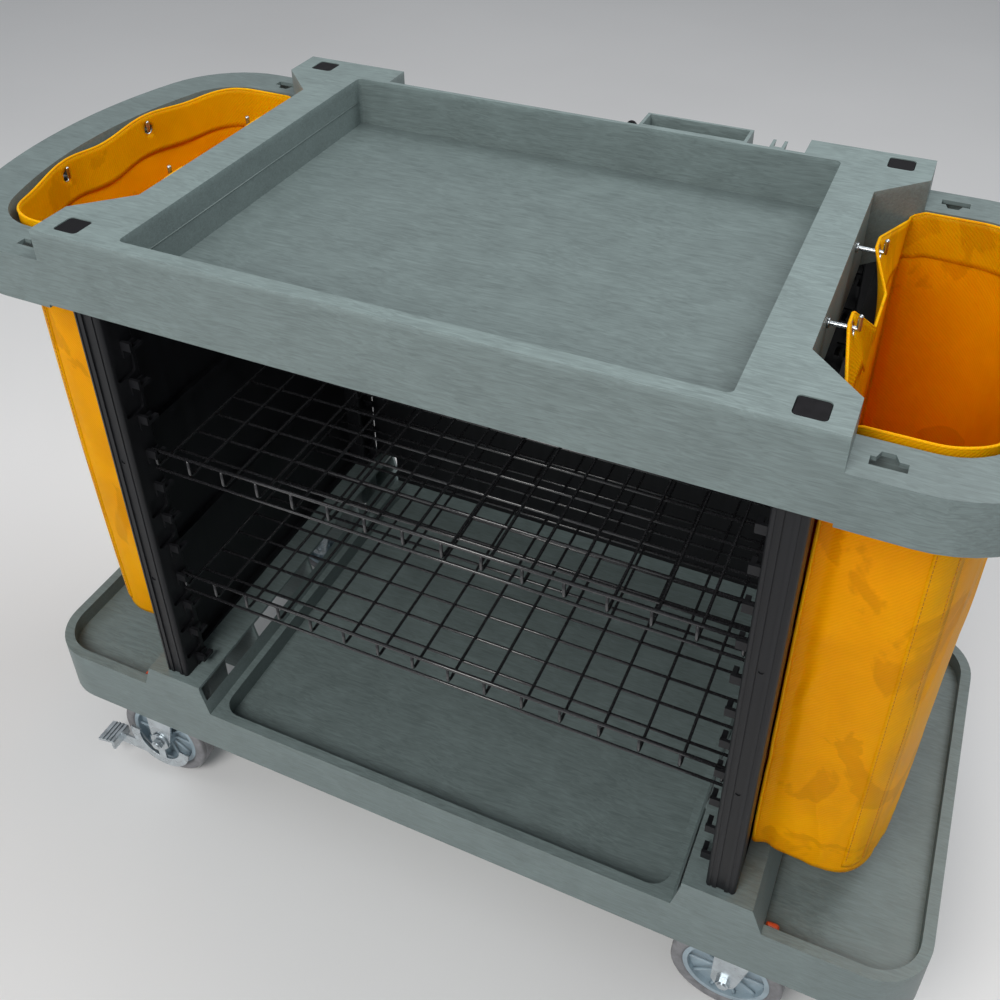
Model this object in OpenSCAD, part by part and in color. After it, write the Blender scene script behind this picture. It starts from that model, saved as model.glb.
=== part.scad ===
// Housekeeping cart: moulded deck and base, stacked side panels, two hook-in
// wire shelves, a bag hoop with a hanging bag at each end, four swivel casters.
// X runs along the cart, the open front faces -Y, the floor is Z = 0.

/* [Overall] */
// Deck length over the ears
deck_len = 862; // [800:1:1040]
// Cart depth, front fascia to back
cart_depth = 562; // [480:1:680]
// Height of the deck's top face above the floor
deck_h = 1010; // [960:1:1180]
// Reach of each bag hoop past the deck's end
hoop_reach = 219; // [185:1:280]
// Wall of the deck and base mouldings
shell_wall = 5; // [4:0.5:7]

/* [Deck] */
// Height of the deck's skirt
fascia_h = 95; // [85:1:120]
// Width of the rim in front of the deck tray
front_rim = 18; // [12:1:30]
// Depth of the deck tray
tray_recess = 65; // [40:1:72]
// Width of each side rim beside the deck tray
side_rim = 48; // [40:1:60]
// Plan size of the chamfer between ear and side rim
ear_chamfer = 55; // [45:1:65]
// Length of an ear's flat end face
ear_flat = 57; // [50:1:70]
// Length along X of each ear's block behind the tray
rear_ear_len = 148; // [110:1:180]
// Width of a black ear plug
plug_w = 31; // [24:1:34]
// Depth of a black ear plug
plug_d = 30; // [22:1:34]

/* [Tool holder] */
// Length of the tool pocket behind the deck
pocket_len = 138; // [100:1:200]
// Height of the tool pocket
pocket_h = 62; // [45:1:80]
// Wall of the tool pocket
pocket_wall = 4; // [3:0.5:6]
// Distance from the cart's middle to the pocket's near end
pocket_x = 74; // [40:1:90]

/* [Side panels] */
// Thickness of a side panel
panel_t = 36; // [30:1:42]
// Setback of the panels behind the fascia
panel_setback = 10; // [6:1:16]
// Depth of a panel post, front to back
post_d = 46; // [38:1:56]
// Height of the two lower panel tiers
tier_h = 202; // [190:1:206]
// Number of shelf levels up the posts
level_count = 11; // [9:1:11]
// Spacing of the shelf levels
level_pitch = 53.5; // [50:0.5:53.5]
// Height from the top level down from the deck's top face
first_level_drop = 154.5; // [150:0.5:156]
// How far a shelf hook sticks out of its post
hook_out = 14; // [11:0.5:16]

/* [Wire shelves] */
// Thickness of the shelf wire
wire_d = 5; // [4:0.5:6]
// Spacing of the wires that run front to back, rounded to fill the shelf
wire_pitch = 49.4; // [44:0.1:56]
// Number of gaps between the wires that run along the shelf
long_gaps = 12; // [8:1:14]
// Drop from the shelf's rails to its mesh
mesh_drop = 27; // [20:1:30]
// Shelf level of the upper shelf, counted from the top
upper_level = 4; // [2:1:5]
// Shelf level of the lower shelf, counted from the top
lower_level = 8; // [7:1:10]

/* [Base] */
// Height of the base's lower edge above the floor
base_bottom = 172; // [172:1:185]
// Height of the blocks that carry the panels
block_top = 300; // [295:1:310]
// Height of the front lip of the middle tray
lip_top = 248; // [242:1:256]
// Height of the lip round the end platforms
platform_lip = 260; // [254:1:268]
// Height of the middle tray's floor
tray_floor = 218; // [212:1:224]
// Height of the end platforms' floor
platform_floor = 236; // [230:1:242]
// Width of the base lips
lip_w = 14; // [10:1:20]
// Corner radius of the end platforms
platform_r = 70; // [50:1:90]

/* [Bags] */
// Width of a bag hoop's arms
arm_w = 56; // [46:1:60]
// Height of a bag hoop
arm_h = 61; // [50:1:70]
// Radius of the hoop's outer corners
hoop_r = 130; // [100:1:150]
// Height of the bag's bottom above the floor
bag_bottom = 322; // [312:1:360]
// Wall of the bag
bag_wall = 4; // [3:0.5:6]
// Thickness of the bag hook wire
bag_hook_d = 5; // [4:0.5:6]

/* [Casters] */
// Wheel diameter
wheel_d = 150; // [125:1:150]
// Tyre width
tyre_w = 32; // [28:1:36]
// Trail of the wheel behind its swivel axis
trail = 34; // [28:1:40]
// Distance of the swivel axes out from the deck's end faces
caster_out = 21; // [19:1:39]
// Distance of the swivel axes in from the front and back faces
caster_inset = 50; // [48:1:60]
// Axle diameter
axle_d = 12; // [10:0.5:14]
// Length of the top plate
plate_len = 105; // [95:1:115]
// Width of the top plate
plate_wid = 85; // [78:1:90]
// Sheet thickness of plate and fork
sheet_t = 4; // [3:0.5:5]

/* [Clearances] */
// Gap between a turning axle and its bore
run_gap = 0.05; // [0.02:0.01:0.09]
// Gap between parts that only sit beside each other
loose_gap = 0.5; // [0.3:0.1:1]

/* [Hidden] */
$fn = 64;
FINE = 96;
SIDES = ["left", "right"];
CORNERS = ["front_left", "back_left", "front_right", "back_right"];
TIERS = ["lower", "middle", "upper"];
SHELVES = ["upper", "lower"];
BRAKED = ["front_left", "back_left"];

// Colours
GREY_GREEN = [0.47, 0.52, 0.51];
BLACK = [0.10, 0.10, 0.11];
WIRE_BLACK = [0.05, 0.05, 0.05];
ORANGE = [0.90, 0.52, 0.04];
STEEL = [0.72, 0.74, 0.76];
TYRE_GREY = [0.42, 0.42, 0.43];
HUB_BLUE = [0.50, 0.58, 0.62];
CLIP_RED = [0.72, 0.16, 0.06];

// Deck
half_len = deck_len / 2;
half_dep = cart_depth / 2;
fascia_z = deck_h - fascia_h;
strip_x = half_len - ear_chamfer;
tray_x = strip_x - side_rim;
tray_front = -half_dep + front_rim;
back_rim = 6;
rear_ear_d = ear_flat - 16;
back_wall_y = half_dep - rear_ear_d;
tray_back = back_wall_y - back_rim;
tray_z = deck_h - tray_recess;
plug_y = half_dep - 26;
plug_depth = 12;
plug_t = 4.4;
plug_sink = 0.6;
plug_r = 5;
seat_t = 8;
seat_gap = 4;

// Side panels
panel_in = strip_x;
panel_out = strip_x + panel_t;
panel_y = half_dep - panel_setback;
post_y = panel_y - post_d / 2;
post_wall = 4;
web_t = 6;
web_x = panel_out - 10;
web_top = fascia_z - 6;
web_half_y = post_y - post_d / 2 + post_wall - 1;
frame_half_y = post_y - post_d / 2 + post_wall / 2;
frame_t = 5;
frame_in = 8;
post_top = deck_h - plug_depth - seat_t;
spigot_h = 12;
hook_floor = 5;
hook_lip = 7;
hook_lip_t = 4;
hook_web = 2;
hook_web_h = 16;
hook_lip_gap = 2;
hook_back = 12;
rail_y = half_dep - 42;
rail_end_gap = 3;
mesh_wire_d = wire_d - 1;
wire_end_x = panel_in - rail_end_gap - wire_d / 2;
cross_gaps = round(2 * wire_end_x / wire_pitch);
wire_sink = 0.8;
drop_room = mesh_wire_d / 2 + 0.6;
rail_gap = 0.3;
window_d = 9;
window_r = 5;
dimple_r = 3;

// Base
step_top_x = half_len + 5;
step_low_x = half_len + 20;
curb_top_x = strip_x - 26;
curb_low_x = strip_x - 36;
base_half = half_len + hoop_reach - 10;
tray_half_y = half_dep - lip_w;
tray_inset = 10;
tray_r = 26;
rib_t = 4;
rib_rise = 6;
long_rib_y = 150;
cross_rib_pitch = 160;
back_skirt_x = curb_low_x - 4;
boss_h_z = 190;
boss_half_x = 62;
boss_in_y = 50;
rod_boss_d = 40;
nut_room = 8;
clip_w = 16;
clip_d = 12;
clip_h = 10;
clip_rise = 5;

// Hoop and bag
hoop_out = half_len + hoop_reach;
hoop_top = deck_h - 38;
hoop_bottom = hoop_top - arm_h;
hook_z = deck_h - 25;
hook_pair_y = 80;
bag_gap = 8;
bag_top = hoop_top + 2;
bag_in_x = panel_out + bag_gap;
bag_edge = max(arm_w, ear_flat) + bag_gap;
bag_half_y = half_dep - bag_edge;
bag_r = 20;
tab_w = 34;
tab_t = 4;
tab_hole = 13;

// Casters
wheel_r = wheel_d / 2;
caster_x = half_len + caster_out;
caster_y = half_dep - caster_inset;
plate_z = boss_h_z - sheet_t;
cup_h = 5;
cup_gap = 0.4;
fork_drop = 16;
fork_top = plate_z - fork_drop;
crown_d = 64;
cup_r = 27;
fork_gap = tyre_w + 8;
fork_w = fork_gap + 2 * sheet_t;
hub_w = fork_gap - 2;
hub_r = wheel_r - 17;
hole_x = 80;
hole_y = 60;
bolt_d = 8;
hole_d = 8.5;
bolt_top = platform_floor - 12;

rod_d = 10;
nut_d = 17;
nut_h = 6;
seat_low = base_bottom + 34;
rod_low = seat_low - nut_h - 3;
rod_high = post_top + seat_t + nut_h + 0.8;

// Points along an arc about (cx, cy)
function arc(cx, cy, r, a0, a1, n) =
    [for (i = [0:n]) let (a = a0 + (a1 - a0) * i / n) [cx + r * cos(a), cy + r * sin(a)]];

// Rectangle w x d centred on the origin with round corners
function round_rect(w, d, r, n = 8) = concat(
    arc(w / 2 - r, d / 2 - r, r, 0, 90, n), arc(-w / 2 + r, d / 2 - r, r, 90, 180, n),
    arc(-w / 2 + r, -d / 2 + r, r, 180, 270, n), arc(w / 2 - r, -d / 2 + r, r, 270, 360, n));

// Right half of the deck's plan, moved in by i, from the front to the back
function deck_half(i) = let (k = i * (sqrt(2) - 1)) [
    [half_len - i, -half_dep + i], [half_len - i, -half_dep + ear_flat - k],
    [strip_x - i, -half_dep + ear_flat + ear_chamfer - k],
    [strip_x - i, half_dep - ear_flat - ear_chamfer + k],
    [half_len - i, half_dep - ear_flat + k], [half_len - i, half_dep - i],
    [half_len - rear_ear_len + i, half_dep - i], [half_len - rear_ear_len + i, back_wall_y - i]];

function flip_x(pts) = [for (i = [len(pts) - 1:-1:0]) [-pts[i][0], pts[i][1]]];

// Draws its children at all four mirror places
module four_ways() {
    for (sx = [-1, 1], sy = [-1, 1]) scale_sign(sx, sy) children();
}

module scale_sign(sx, sy) {
    mirror([sx < 0 ? 1 : 0, 0, 0]) mirror([0, sy < 0 ? 1 : 0, 0]) children();
}

module box(x0, x1, y0, y1, z0, z1) {
    translate([x0, y0, z0]) cube([x1 - x0, y1 - y0, z1 - z0]);
}

// Round bar from point a to point b
module bar(a, b, d) {
    v = b - a;
    len_v = norm(v);
    turn = atan2(v[1], v[0]);
    lean = acos(v[2] / len_v);
    translate(a) rotate([0, lean, turn]) cylinder(d = d, h = len_v, $fn = 24);
}

// ---------------------------------------------------------------- deck
module deck_plan(i) {
    polygon(concat(deck_half(i), flip_x(deck_half(i))));
}

module deck_top() {
    color(GREY_GREEN) difference() {
        translate([0, 0, fascia_z]) linear_extrude(fascia_h) deck_plan(0);
        // hollow underside, left full round the tray
        difference() {
            translate([0, 0, fascia_z - 1]) linear_extrude(fascia_h - shell_wall + 1) deck_plan(shell_wall);
            box(-tray_x - shell_wall, tray_x + shell_wall, tray_front - shell_wall,
                tray_back + shell_wall, tray_z - shell_wall, deck_h);
            deck_ribs();
            four_ways() box(rod_x() - panel_t / 2 - seat_gap, rod_x() + panel_t / 2,
                            post_y - post_d / 2 - seat_gap, half_dep, post_top, deck_h);
        }
        translate([0, (tray_front + tray_back) / 2, tray_z])
            linear_extrude(tray_recess + 1)
                polygon(round_rect(2 * tray_x, tray_back - tray_front, 7));
        four_ways() translate([rod_x(), plug_y, deck_h - plug_depth])
            linear_extrude(plug_depth + 1) polygon(round_rect(plug_w, plug_d, plug_r));
        frame_bolt_holes();
        pocket_screw_holes();
        four_ways() translate([rod_x(), post_y, post_top - 1])
            cylinder(d = rod_d + 1, h = seat_t + 2);
        bag_hook_holes();
    }
}

// Stiffening ribs below the deck tray
module deck_ribs() {
    for (i = [-2:2])
        box(i * tray_x / 2.5 - rib_t / 2, i * tray_x / 2.5 + rib_t / 2, -half_dep, back_wall_y,
            tray_z - 22, tray_z);
}

module ear_plugs() {
    color(BLACK) four_ways() translate([rod_x(), plug_y, deck_h - plug_sink - plug_t])
        linear_extrude(plug_t)
            polygon(round_rect(plug_w - 2 * loose_gap, plug_d - 2 * loose_gap, plug_r - loose_gap));
}

// ---------------------------------------------------------------- tool holder
pocket_out = half_dep;
screw_z = deck_h - pocket_h + 12;
screw_inset = 20;
screw_d = 4.2;
screw_hole = 4.4;
screw_head_d = 8;
screw_grip = back_rim - 1.3;
screw_head_h = 2.6;
driver_hole = 9;

// Two screws fix the pocket, one the bracket
module pocket_screw_sites() {
    for (x = [pocket_x + screw_inset, pocket_x + pocket_len - screw_inset, bracket_x])
        translate([x, back_wall_y, screw_z]) children();
}

bracket_x = pocket_x + pocket_len + 37;
bracket_w = 18;
bracket_t = 4;
bracket_out = 30;
bracket_lean = 24;
knob_back = 12;
knob_stem = 7;
knob_head = 5;

module pocket_screw_holes() {
    pocket_screw_sites() translate([0, 1, 0]) rotate([90, 0, 0])
        cylinder(d = screw_hole, h = back_rim);
}

module tool_pocket() {
    color(GREY_GREEN) difference() {
        box(pocket_x, pocket_x + pocket_len, back_wall_y, pocket_out, deck_h - pocket_h, deck_h);
        // pocket with slanted inner end faces
        translate([0, pocket_out - pocket_wall, 0]) rotate([90, 0, 0])
            linear_extrude(pocket_out - back_wall_y - 2 * pocket_wall)
                polygon([[pocket_x + pocket_wall + 8, deck_h - pocket_h + pocket_wall],
                         [pocket_x + pocket_len - pocket_wall - 8, deck_h - pocket_h + pocket_wall],
                         [pocket_x + pocket_len - pocket_wall, deck_h + 1],
                         [pocket_x + pocket_wall, deck_h + 1]]);
        pocket_screw_sites() translate([0, pocket_wall + 1, 0]) rotate([90, 0, 0])
            cylinder(d = screw_hole, h = pocket_wall + 2);
        // reach for the screwdriver through the outer wall
        pocket_screw_sites() translate([0, pocket_out - back_wall_y + 1, 0]) rotate([90, 0, 0])
            cylinder(d = driver_hole, h = pocket_wall + 2);
        // chamfered lower outer edge
        translate([pocket_x - 1, pocket_out, deck_h - pocket_h]) rotate([45, 0, 0])
            cube([pocket_len + 2, 18, 18]);
    }
}

module tool_bracket() {
    color(GREY_GREEN) difference() {
        union() {
            for (x = [bracket_x - bracket_w / 2, bracket_x + bracket_w / 2 - bracket_t])
                box(x, x + bracket_t, back_wall_y, back_wall_y + bracket_out, deck_h - pocket_h, deck_h);
            box(bracket_x - bracket_w / 2, bracket_x + bracket_w / 2, back_wall_y,
                back_wall_y + bracket_t, deck_h - pocket_h, deck_h);
        }
        // slanted front edge of the two ribs
        translate([bracket_x - bracket_w, back_wall_y + bracket_out, deck_h - pocket_h - 1])
            rotate([bracket_lean, 0, 0]) translate([0, 0, -40]) cube([2 * bracket_w, 40, 100]);
        translate([bracket_x, back_wall_y + bracket_t + 1, screw_z]) rotate([90, 0, 0])
            cylinder(d = screw_hole, h = bracket_t + 2);
    }
}

module tool_knob() {
    color(BLACK) translate([pocket_x - knob_back, back_wall_y, deck_h - 8]) rotate([-90, 0, 0]) {
        cylinder(d = 8, h = knob_stem);
        translate([0, 0, knob_stem]) cylinder(d = 14, h = knob_head);
    }
}

module pocket_screws() {
    color(STEEL) {
        for (x = [pocket_x + screw_inset, pocket_x + pocket_len - screw_inset])
            translate([x, back_wall_y + pocket_wall, screw_z]) screw_y(pocket_wall);
        translate([bracket_x, back_wall_y + bracket_t, screw_z]) screw_y(bracket_t);
    }
}

// Pan-head screw pointing to -Y, head behind y = 0, reaching through wall w into the deck's back wall
module screw_y(w) {
    rotate([90, 0, 0]) cylinder(d = screw_d, h = w + screw_grip, $fn = 24);
    rotate([-90, 0, 0]) cylinder(d = screw_head_d, h = screw_head_h, $fn = 32);
}

// ---------------------------------------------------------------- side panels
function rod_x() = panel_in + panel_t / 2;
function tier_low(t) = block_top + tier_h * (t == "lower" ? 0 : t == "middle" ? 1 : 2);
function tier_high(t) = t == "upper" ? post_top : tier_low(t) + tier_h;
function level_z(n) = deck_h - first_level_drop - (n - 1) * level_pitch;

// Plan of a front post: rounded outer corners and a groove down the front
module post_plan() {
    difference() {
        polygon(round_rect(panel_t, post_d, 5, 5));
        translate([0, -post_d / 2]) square([10, 4], center = true);
        translate([-11, -post_d / 2]) square([3, 2], center = true);
        translate([11, -post_d / 2]) square([3, 2], center = true);
    }
}

module post_bore_plan(gap) {
    square([panel_t - 2 * post_wall - 2 * gap, post_d - 2 * post_wall - 2 * gap], center = true);
}

// Shelf hook: a floor with an upstand at its front, rail centre at (rail_y, z), and a
// slot that lets the shelf's outermost wire down past the floor
module shelf_hook(z) {
    top = z - wire_d / 2 - rail_gap;
    lip_y = -rail_y - wire_d / 2 - hook_lip_gap;
    back_y = -rail_y + hook_back;
    difference() {
        box(panel_in - hook_out, panel_in + 1, lip_y - hook_lip_t, back_y, top - hook_floor, top);
        box(wire_end_x - drop_room, wire_end_x + drop_room, lip_y, back_y + 1,
            top - hook_floor - 1, top + 1);
    }
    box(panel_in - hook_out, panel_in + 1, lip_y - hook_lip_t, lip_y, top - hook_floor, top + hook_lip);
    box(panel_in - hook_web, panel_in + 1, lip_y - hook_lip_t, back_y, top - hook_web_h, top);
}

// Window in the post's inner face between two hooks
module post_window(z) {
    hgt = level_pitch - 26;
    translate([panel_in - 1, -post_y, z - level_pitch / 2 - 6]) rotate([90, 0, 90])
        linear_extrude(window_d - post_wall) polygon(round_rect(post_d - 16, hgt, window_r, 4));
}

// One post half of a tier, drawn at the front right
module tier_post(z0, z1, top_joint, low_joint) {
    difference() {
        translate([rod_x(), -post_y, z0]) linear_extrude(z1 - z0) post_plan();
        translate([rod_x(), -post_y, z0 - 1]) linear_extrude(z1 - z0 - post_wall + 1)
            difference() {
                post_bore_plan(0);
                translate([-panel_t / 2, 0]) square([2 * window_d, post_d], center = true);
            }
        translate([rod_x(), -post_y, z0 - 1]) cylinder(d = rod_d + 1, h = z1 - z0 + 2);
        if (low_joint) translate([rod_x(), -post_y, z0 - 1])
            linear_extrude(spigot_h + 2) post_bore_plan(0);
        for (n = [1:level_count])
            if (level_z(n) - level_pitch > z0 && level_z(n) < z1 - spigot_h) post_window(level_z(n));
        translate([rod_x(), -panel_y - 1, z1 - 14]) rotate([-90, 0, 0])
            cylinder(r = dimple_r, h = 4);
    }
    if (top_joint) difference() {
        translate([rod_x(), -post_y, z1 - 1]) linear_extrude(spigot_h + 1) post_bore_plan(0.3);
        translate([rod_x(), -post_y, z1 - 2]) cylinder(d = rod_d + 1, h = spigot_h + 4);
    }
    for (n = [1:level_count])
        if (level_z(n) - 20 > z0 && level_z(n) + hook_lip < z1) shelf_hook(level_z(n));
}

module side_panel(s, t) {
    z0 = tier_low(t);
    z1 = tier_high(t);
    zweb = t == "upper" ? web_top : z1;
    color(BLACK) mirror([s == "left" ? 1 : 0, 0, 0]) {
        for (sy = [-1, 1]) mirror([0, sy > 0 ? 1 : 0, 0])
            tier_post(z0, z1, t != "upper", true);
        // web with an outward frame and two ribs
        box(web_x, web_x + web_t, -web_half_y, web_half_y, z0, zweb);
        for (z = [z0, zweb - frame_t])
            box(web_x - frame_in, panel_out, -frame_half_y, frame_half_y, z, z + frame_t);
    }
}

module back_panel() {
    color(BLACK) {
        box(-panel_in + 1, panel_in - 1, panel_y - 5, panel_y - 1, block_top + 1, fascia_z - 1);
        box(-back_skirt_x, back_skirt_x, panel_y - 5, panel_y - 1, lip_top + 1, block_top + 2);
        for (z = [block_top + 1, block_top + tier_h, block_top + 2 * tier_h, fascia_z - 13])
            box(-panel_in + 1, panel_in - 1, panel_y - 2, panel_y + 3, z, z + 12);
    }
}

module tie_rods() {
    color(STEEL) four_ways() translate([rod_x(), post_y, rod_low])
        cylinder(d = rod_d, h = rod_high - rod_low, $fn = 32);
}

// A nut under the base and one in the plug pocket of the deck on each rod
module tie_nuts() {
    color(STEEL) four_ways() for (z = [seat_low - nut_h, post_top + seat_t])
        translate([rod_x(), post_y, z]) difference() {
            cylinder(d = nut_d, h = nut_h, $fn = 6);
            translate([0, 0, -1]) cylinder(d = rod_d, h = nut_h + 2, $fn = 32);
        }
}

// ---------------------------------------------------------------- wire shelves
// Each shelf is welded from a mesh and two rails. The mesh's wires front to back end at the
// uprights, and the wires along the shelf lie under them.
function cross_x(i) = wire_end_x * (2 * i / cross_gaps - 1);
function mesh_z(level) = level_z(level) - mesh_drop;

module shelf_mesh(level) {
    zm = mesh_z(level);
    rail_x = wire_end_x + wire_d / 2;
    long_z = zm - mesh_wire_d + wire_sink;
    cross_y = rail_y - mesh_wire_d / 2;
    color(WIRE_BLACK) {
        for (i = [0:cross_gaps])
            bar([cross_x(i), -cross_y, zm], [cross_x(i), cross_y, zm], mesh_wire_d);
        for (j = [0:long_gaps]) {
            y = -rail_y + 2 * rail_y * j / long_gaps;
            bar([-rail_x, y, long_z], [rail_x, y, long_z], mesh_wire_d);
        }
    }
}

// A rail with the uprights that carry the mesh
module shelf_rail(level, sy) {
    z = level_z(level);
    rail_x = wire_end_x + wire_d / 2;
    low_z = mesh_z(level) - mesh_wire_d / 2 + wire_sink;
    color(WIRE_BLACK) {
        bar([-rail_x, sy * rail_y, z], [rail_x, sy * rail_y, z], wire_d);
        for (i = [0:cross_gaps])
            bar([cross_x(i), sy * rail_y, low_z], [cross_x(i), sy * rail_y, z], mesh_wire_d);
    }
}

function shelf_level(s) = s == "upper" ? upper_level : lower_level;

// ---------------------------------------------------------------- base
// Plan of the whole base, moved in by i
function base_pts(i) = round_rect(2 * base_half - 2 * i, cart_depth - 2 * i, platform_r - i, 12);

// Side view cut away above the lips, drawn in X and Z for the right half
function base_profile_cut(sx) = [
    [sx * curb_low_x, lip_top], [sx * curb_top_x, block_top - 8], [sx * curb_top_x, block_top + 9],
    [0, block_top + 9], [0, lip_top]];

module base_platform() {
    color(GREY_GREEN) difference() {
        translate([0, 0, base_bottom]) linear_extrude(block_top - base_bottom) polygon(base_pts(0));
        // low front and back lips of the middle tray
        for (sx = [-1, 1]) translate([0, half_dep + 1, 0]) rotate([90, 0, 0])
            linear_extrude(cart_depth + 2) polygon(base_profile_cut(sx));
        // steps down to the end platforms
        for (sx = [-1, 1]) translate([0, half_dep + 1, 0]) rotate([90, 0, 0])
            linear_extrude(cart_depth + 2)
                polygon([[sx * step_top_x, block_top + 1], [sx * step_low_x, platform_lip],
                         [sx * (base_half + 1), platform_lip], [sx * (base_half + 1), block_top + 1]]);
        // middle tray
        translate([0, 0, tray_floor]) linear_extrude(block_top - tray_floor)
            polygon(round_rect(2 * (curb_low_x - tray_inset), 2 * tray_half_y, tray_r, 8));
        // end platform trays
        for (sx = [-1, 1]) platform_hollow(sx);
        base_underside();
        four_ways() caster_bolt_sites() translate([0, 0, -40])
            cylinder(d = hole_d, h = bolt_top + 22 - boss_h_z);
        four_ways() translate([rod_x(), post_y, 0]) {
            cylinder(d = rod_d + 1, h = block_top + 1);
            cylinder(d = nut_d + nut_room, h = seat_low);
        }
    }
}

module platform_hollow(sx) {
    x0 = step_low_x;
    x1 = base_half - lip_w;
    rr = platform_r - lip_w;
    translate([0, 0, platform_floor]) linear_extrude(block_top - platform_floor) mirror([sx < 0 ? 1 : 0, 0])
        polygon(concat([[x0, -tray_half_y]], arc(x1 - rr, -tray_half_y + rr, rr, -90, 0, 10),
                       arc(x1 - rr, tray_half_y - rr, rr, 0, 90, 10), [[x0, tray_half_y]]));
}

// Everything under the skins, with ribs and caster bosses left standing
module base_underside() {
    difference() {
        union() {
            hollow_below(-curb_low_x + tray_inset - shell_wall, curb_low_x - tray_inset + shell_wall,
                         tray_floor - shell_wall);
            for (sx = [-1, 1]) mirror([sx < 0 ? 1 : 0, 0, 0]) {
                hollow_below(curb_low_x + shell_wall, step_top_x - shell_wall, block_top - shell_wall);
                hollow_below(step_top_x - shell_wall - 1, base_half, platform_floor - shell_wall);
            }
        }
        four_ways() box(caster_x - boss_half_x, caster_x + boss_half_x, caster_y - boss_in_y, half_dep,
                        boss_h_z, block_top);
        for (y = [-long_rib_y, 0, long_rib_y])
            box(-base_half, base_half, y - rib_t / 2, y + rib_t / 2, base_bottom + rib_rise, block_top);
        for (x = [-1.5:1.5]) let (x = x * cross_rib_pitch)
            box(x - rib_t / 2, x + rib_t / 2, -half_dep, half_dep, base_bottom + rib_rise, block_top);
        four_ways() translate([rod_x(), post_y, seat_low]) cylinder(d = rod_boss_d, h = block_top);
    }
}

// Hollow between x0 and x1 up to z1, inside the outer wall
module hollow_below(x0, x1, z1) {
    intersection() {
        box(x0, x1, -half_dep, half_dep, base_bottom - 1, z1);
        translate([0, 0, base_bottom - 2]) linear_extrude(block_top) polygon(base_pts(shell_wall));
    }
}

// Small clips on the front lip, in the corner between platform and block
module platform_clips() {
    color(CLIP_RED) for (sx = [-1, 1]) mirror([sx < 0 ? 1 : 0, 0, 0])
        translate([step_low_x + 10, -tray_half_y + clip_d / 2, platform_floor + clip_rise]) {
            linear_extrude(clip_h) polygon(round_rect(clip_w, clip_d, 4, 5));
            translate([0, 0, clip_h]) rotate([0, 90, 0])
                cylinder(d = clip_d - 3, h = clip_w - 4, center = true, $fn = 32);
        }
}

// ---------------------------------------------------------------- bag hoops
// A hoop's outer bar is a shallow arc that runs into tangent corner arcs. Half plan
// moved in by i, from the deck at x0 round the end and back to the deck.
hoop_bow_r = 600;
hoop_bow_x = hoop_out - hoop_bow_r;
hoop_turn = asin((half_dep - hoop_r) / (hoop_bow_r - hoop_r));
hoop_corner_x = hoop_bow_x + (hoop_bow_r - hoop_r) * cos(hoop_turn);

function hoop_pts(i, x0) = concat([[x0, -half_dep + i]],
    arc(hoop_corner_x, -half_dep + hoop_r, hoop_r - i, -90, -hoop_turn, 9),
    arc(hoop_bow_x, 0, hoop_bow_r - i, -hoop_turn + 3, hoop_turn - 3, 12),
    arc(hoop_corner_x, half_dep - hoop_r, hoop_r - i, hoop_turn, 90, 9), [[x0, half_dep - i]]);

// X of the hoop's edge moved in by i, at depth y
function hoop_edge_x(i, y) = hoop_bow_x + sqrt(pow(hoop_bow_r - i, 2) - y * y);

module hoop_ring(i, j, x0, x1) {
    difference() {
        polygon(hoop_pts(i, x0));
        polygon(hoop_pts(j, x1));
    }
}

module bag_frame(s) {
    x0 = half_len;
    color(GREY_GREEN) mirror([s == "left" ? 1 : 0, 0, 0]) difference() {
        translate([0, 0, hoop_bottom]) linear_extrude(arm_h) hoop_ring(0, arm_w, x0, x0 - 40);
        // channel open below
        translate([0, 0, hoop_bottom - 1]) linear_extrude(arm_h - shell_wall + 1)
            hoop_ring(shell_wall, arm_w - shell_wall, x0 + shell_wall, x0 - 20);
        // hanging slots in the arms
        for (sy = [-1, 1]) mirror([0, sy > 0 ? 1 : 0, 0]) hanging_slot();
        frame_bolt_holes();
        hoop_hook_holes();
    }
}

// Hat-shaped slot through the top of an arm
slot_x = 32;
slot_y = 26;
module hanging_slot() {
    translate([half_len + slot_x, -half_dep + slot_y, hoop_top - shell_wall - 1])
        linear_extrude(shell_wall + 2)
            polygon([[-16, -6], [16, -6], [16, 6], [8, 6], [4, 15], [-8, 15], [-11, 6], [-16, 6]]);
}

frame_bolt_d = 6;
frame_bolt_hole = 6.6;
bolt_head_d = 12;
bolt_head_h = 5;

module frame_bolt_sites() {
    for (sx = [-1, 1], sy = [-1, 1], dz = [16, 40])
        mirror([sx < 0 ? 1 : 0, 0, 0])
            translate([half_len, sy * (half_dep - ear_flat / 2), hoop_bottom + dz]) children();
}

module frame_bolt_holes() {
    frame_bolt_sites() rotate([0, 90, 0]) cylinder(d = frame_bolt_hole, h = 4 * shell_wall, center = true);
}

module frame_bolts() {
    color(STEEL) frame_bolt_sites() rotate([0, 90, 0]) {
        translate([0, 0, -shell_wall - 8]) cylinder(d = frame_bolt_d, h = 2 * shell_wall + 9, $fn = 32);
        for (z = [shell_wall, -shell_wall - bolt_head_h - 1])
            translate([0, 0, z]) cylinder(d = bolt_head_d, h = bolt_head_h, $fn = 6);
    }
}

// ---------------------------------------------------------------- bag hooks
hook_reach = 30;
hoop_hook_reach = bag_edge - arm_w + bag_wall + 1;
hook_rise = 14;
hook_seat = 0.3;
rivet_d = 11;
rivet_h = 3;
washer_h = 2;

module bag_hook_holes() {
    for (sx = [-1, 1], sy = [-1, 1]) mirror([sx < 0 ? 1 : 0, 0, 0])
        translate([strip_x, sy * hook_pair_y, hook_z]) rotate([0, 90, 0])
            cylinder(d = bag_hook_d + 2 * run_gap, h = 3 * shell_wall, center = true);
}

module hoop_hook_holes() {
    for (sy = [-1, 1]) hoop_hook_site(sy) rotate([0, 90, 0])
        cylinder(d = bag_hook_d + 2 * run_gap, h = 3 * shell_wall, center = true);
}

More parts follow.
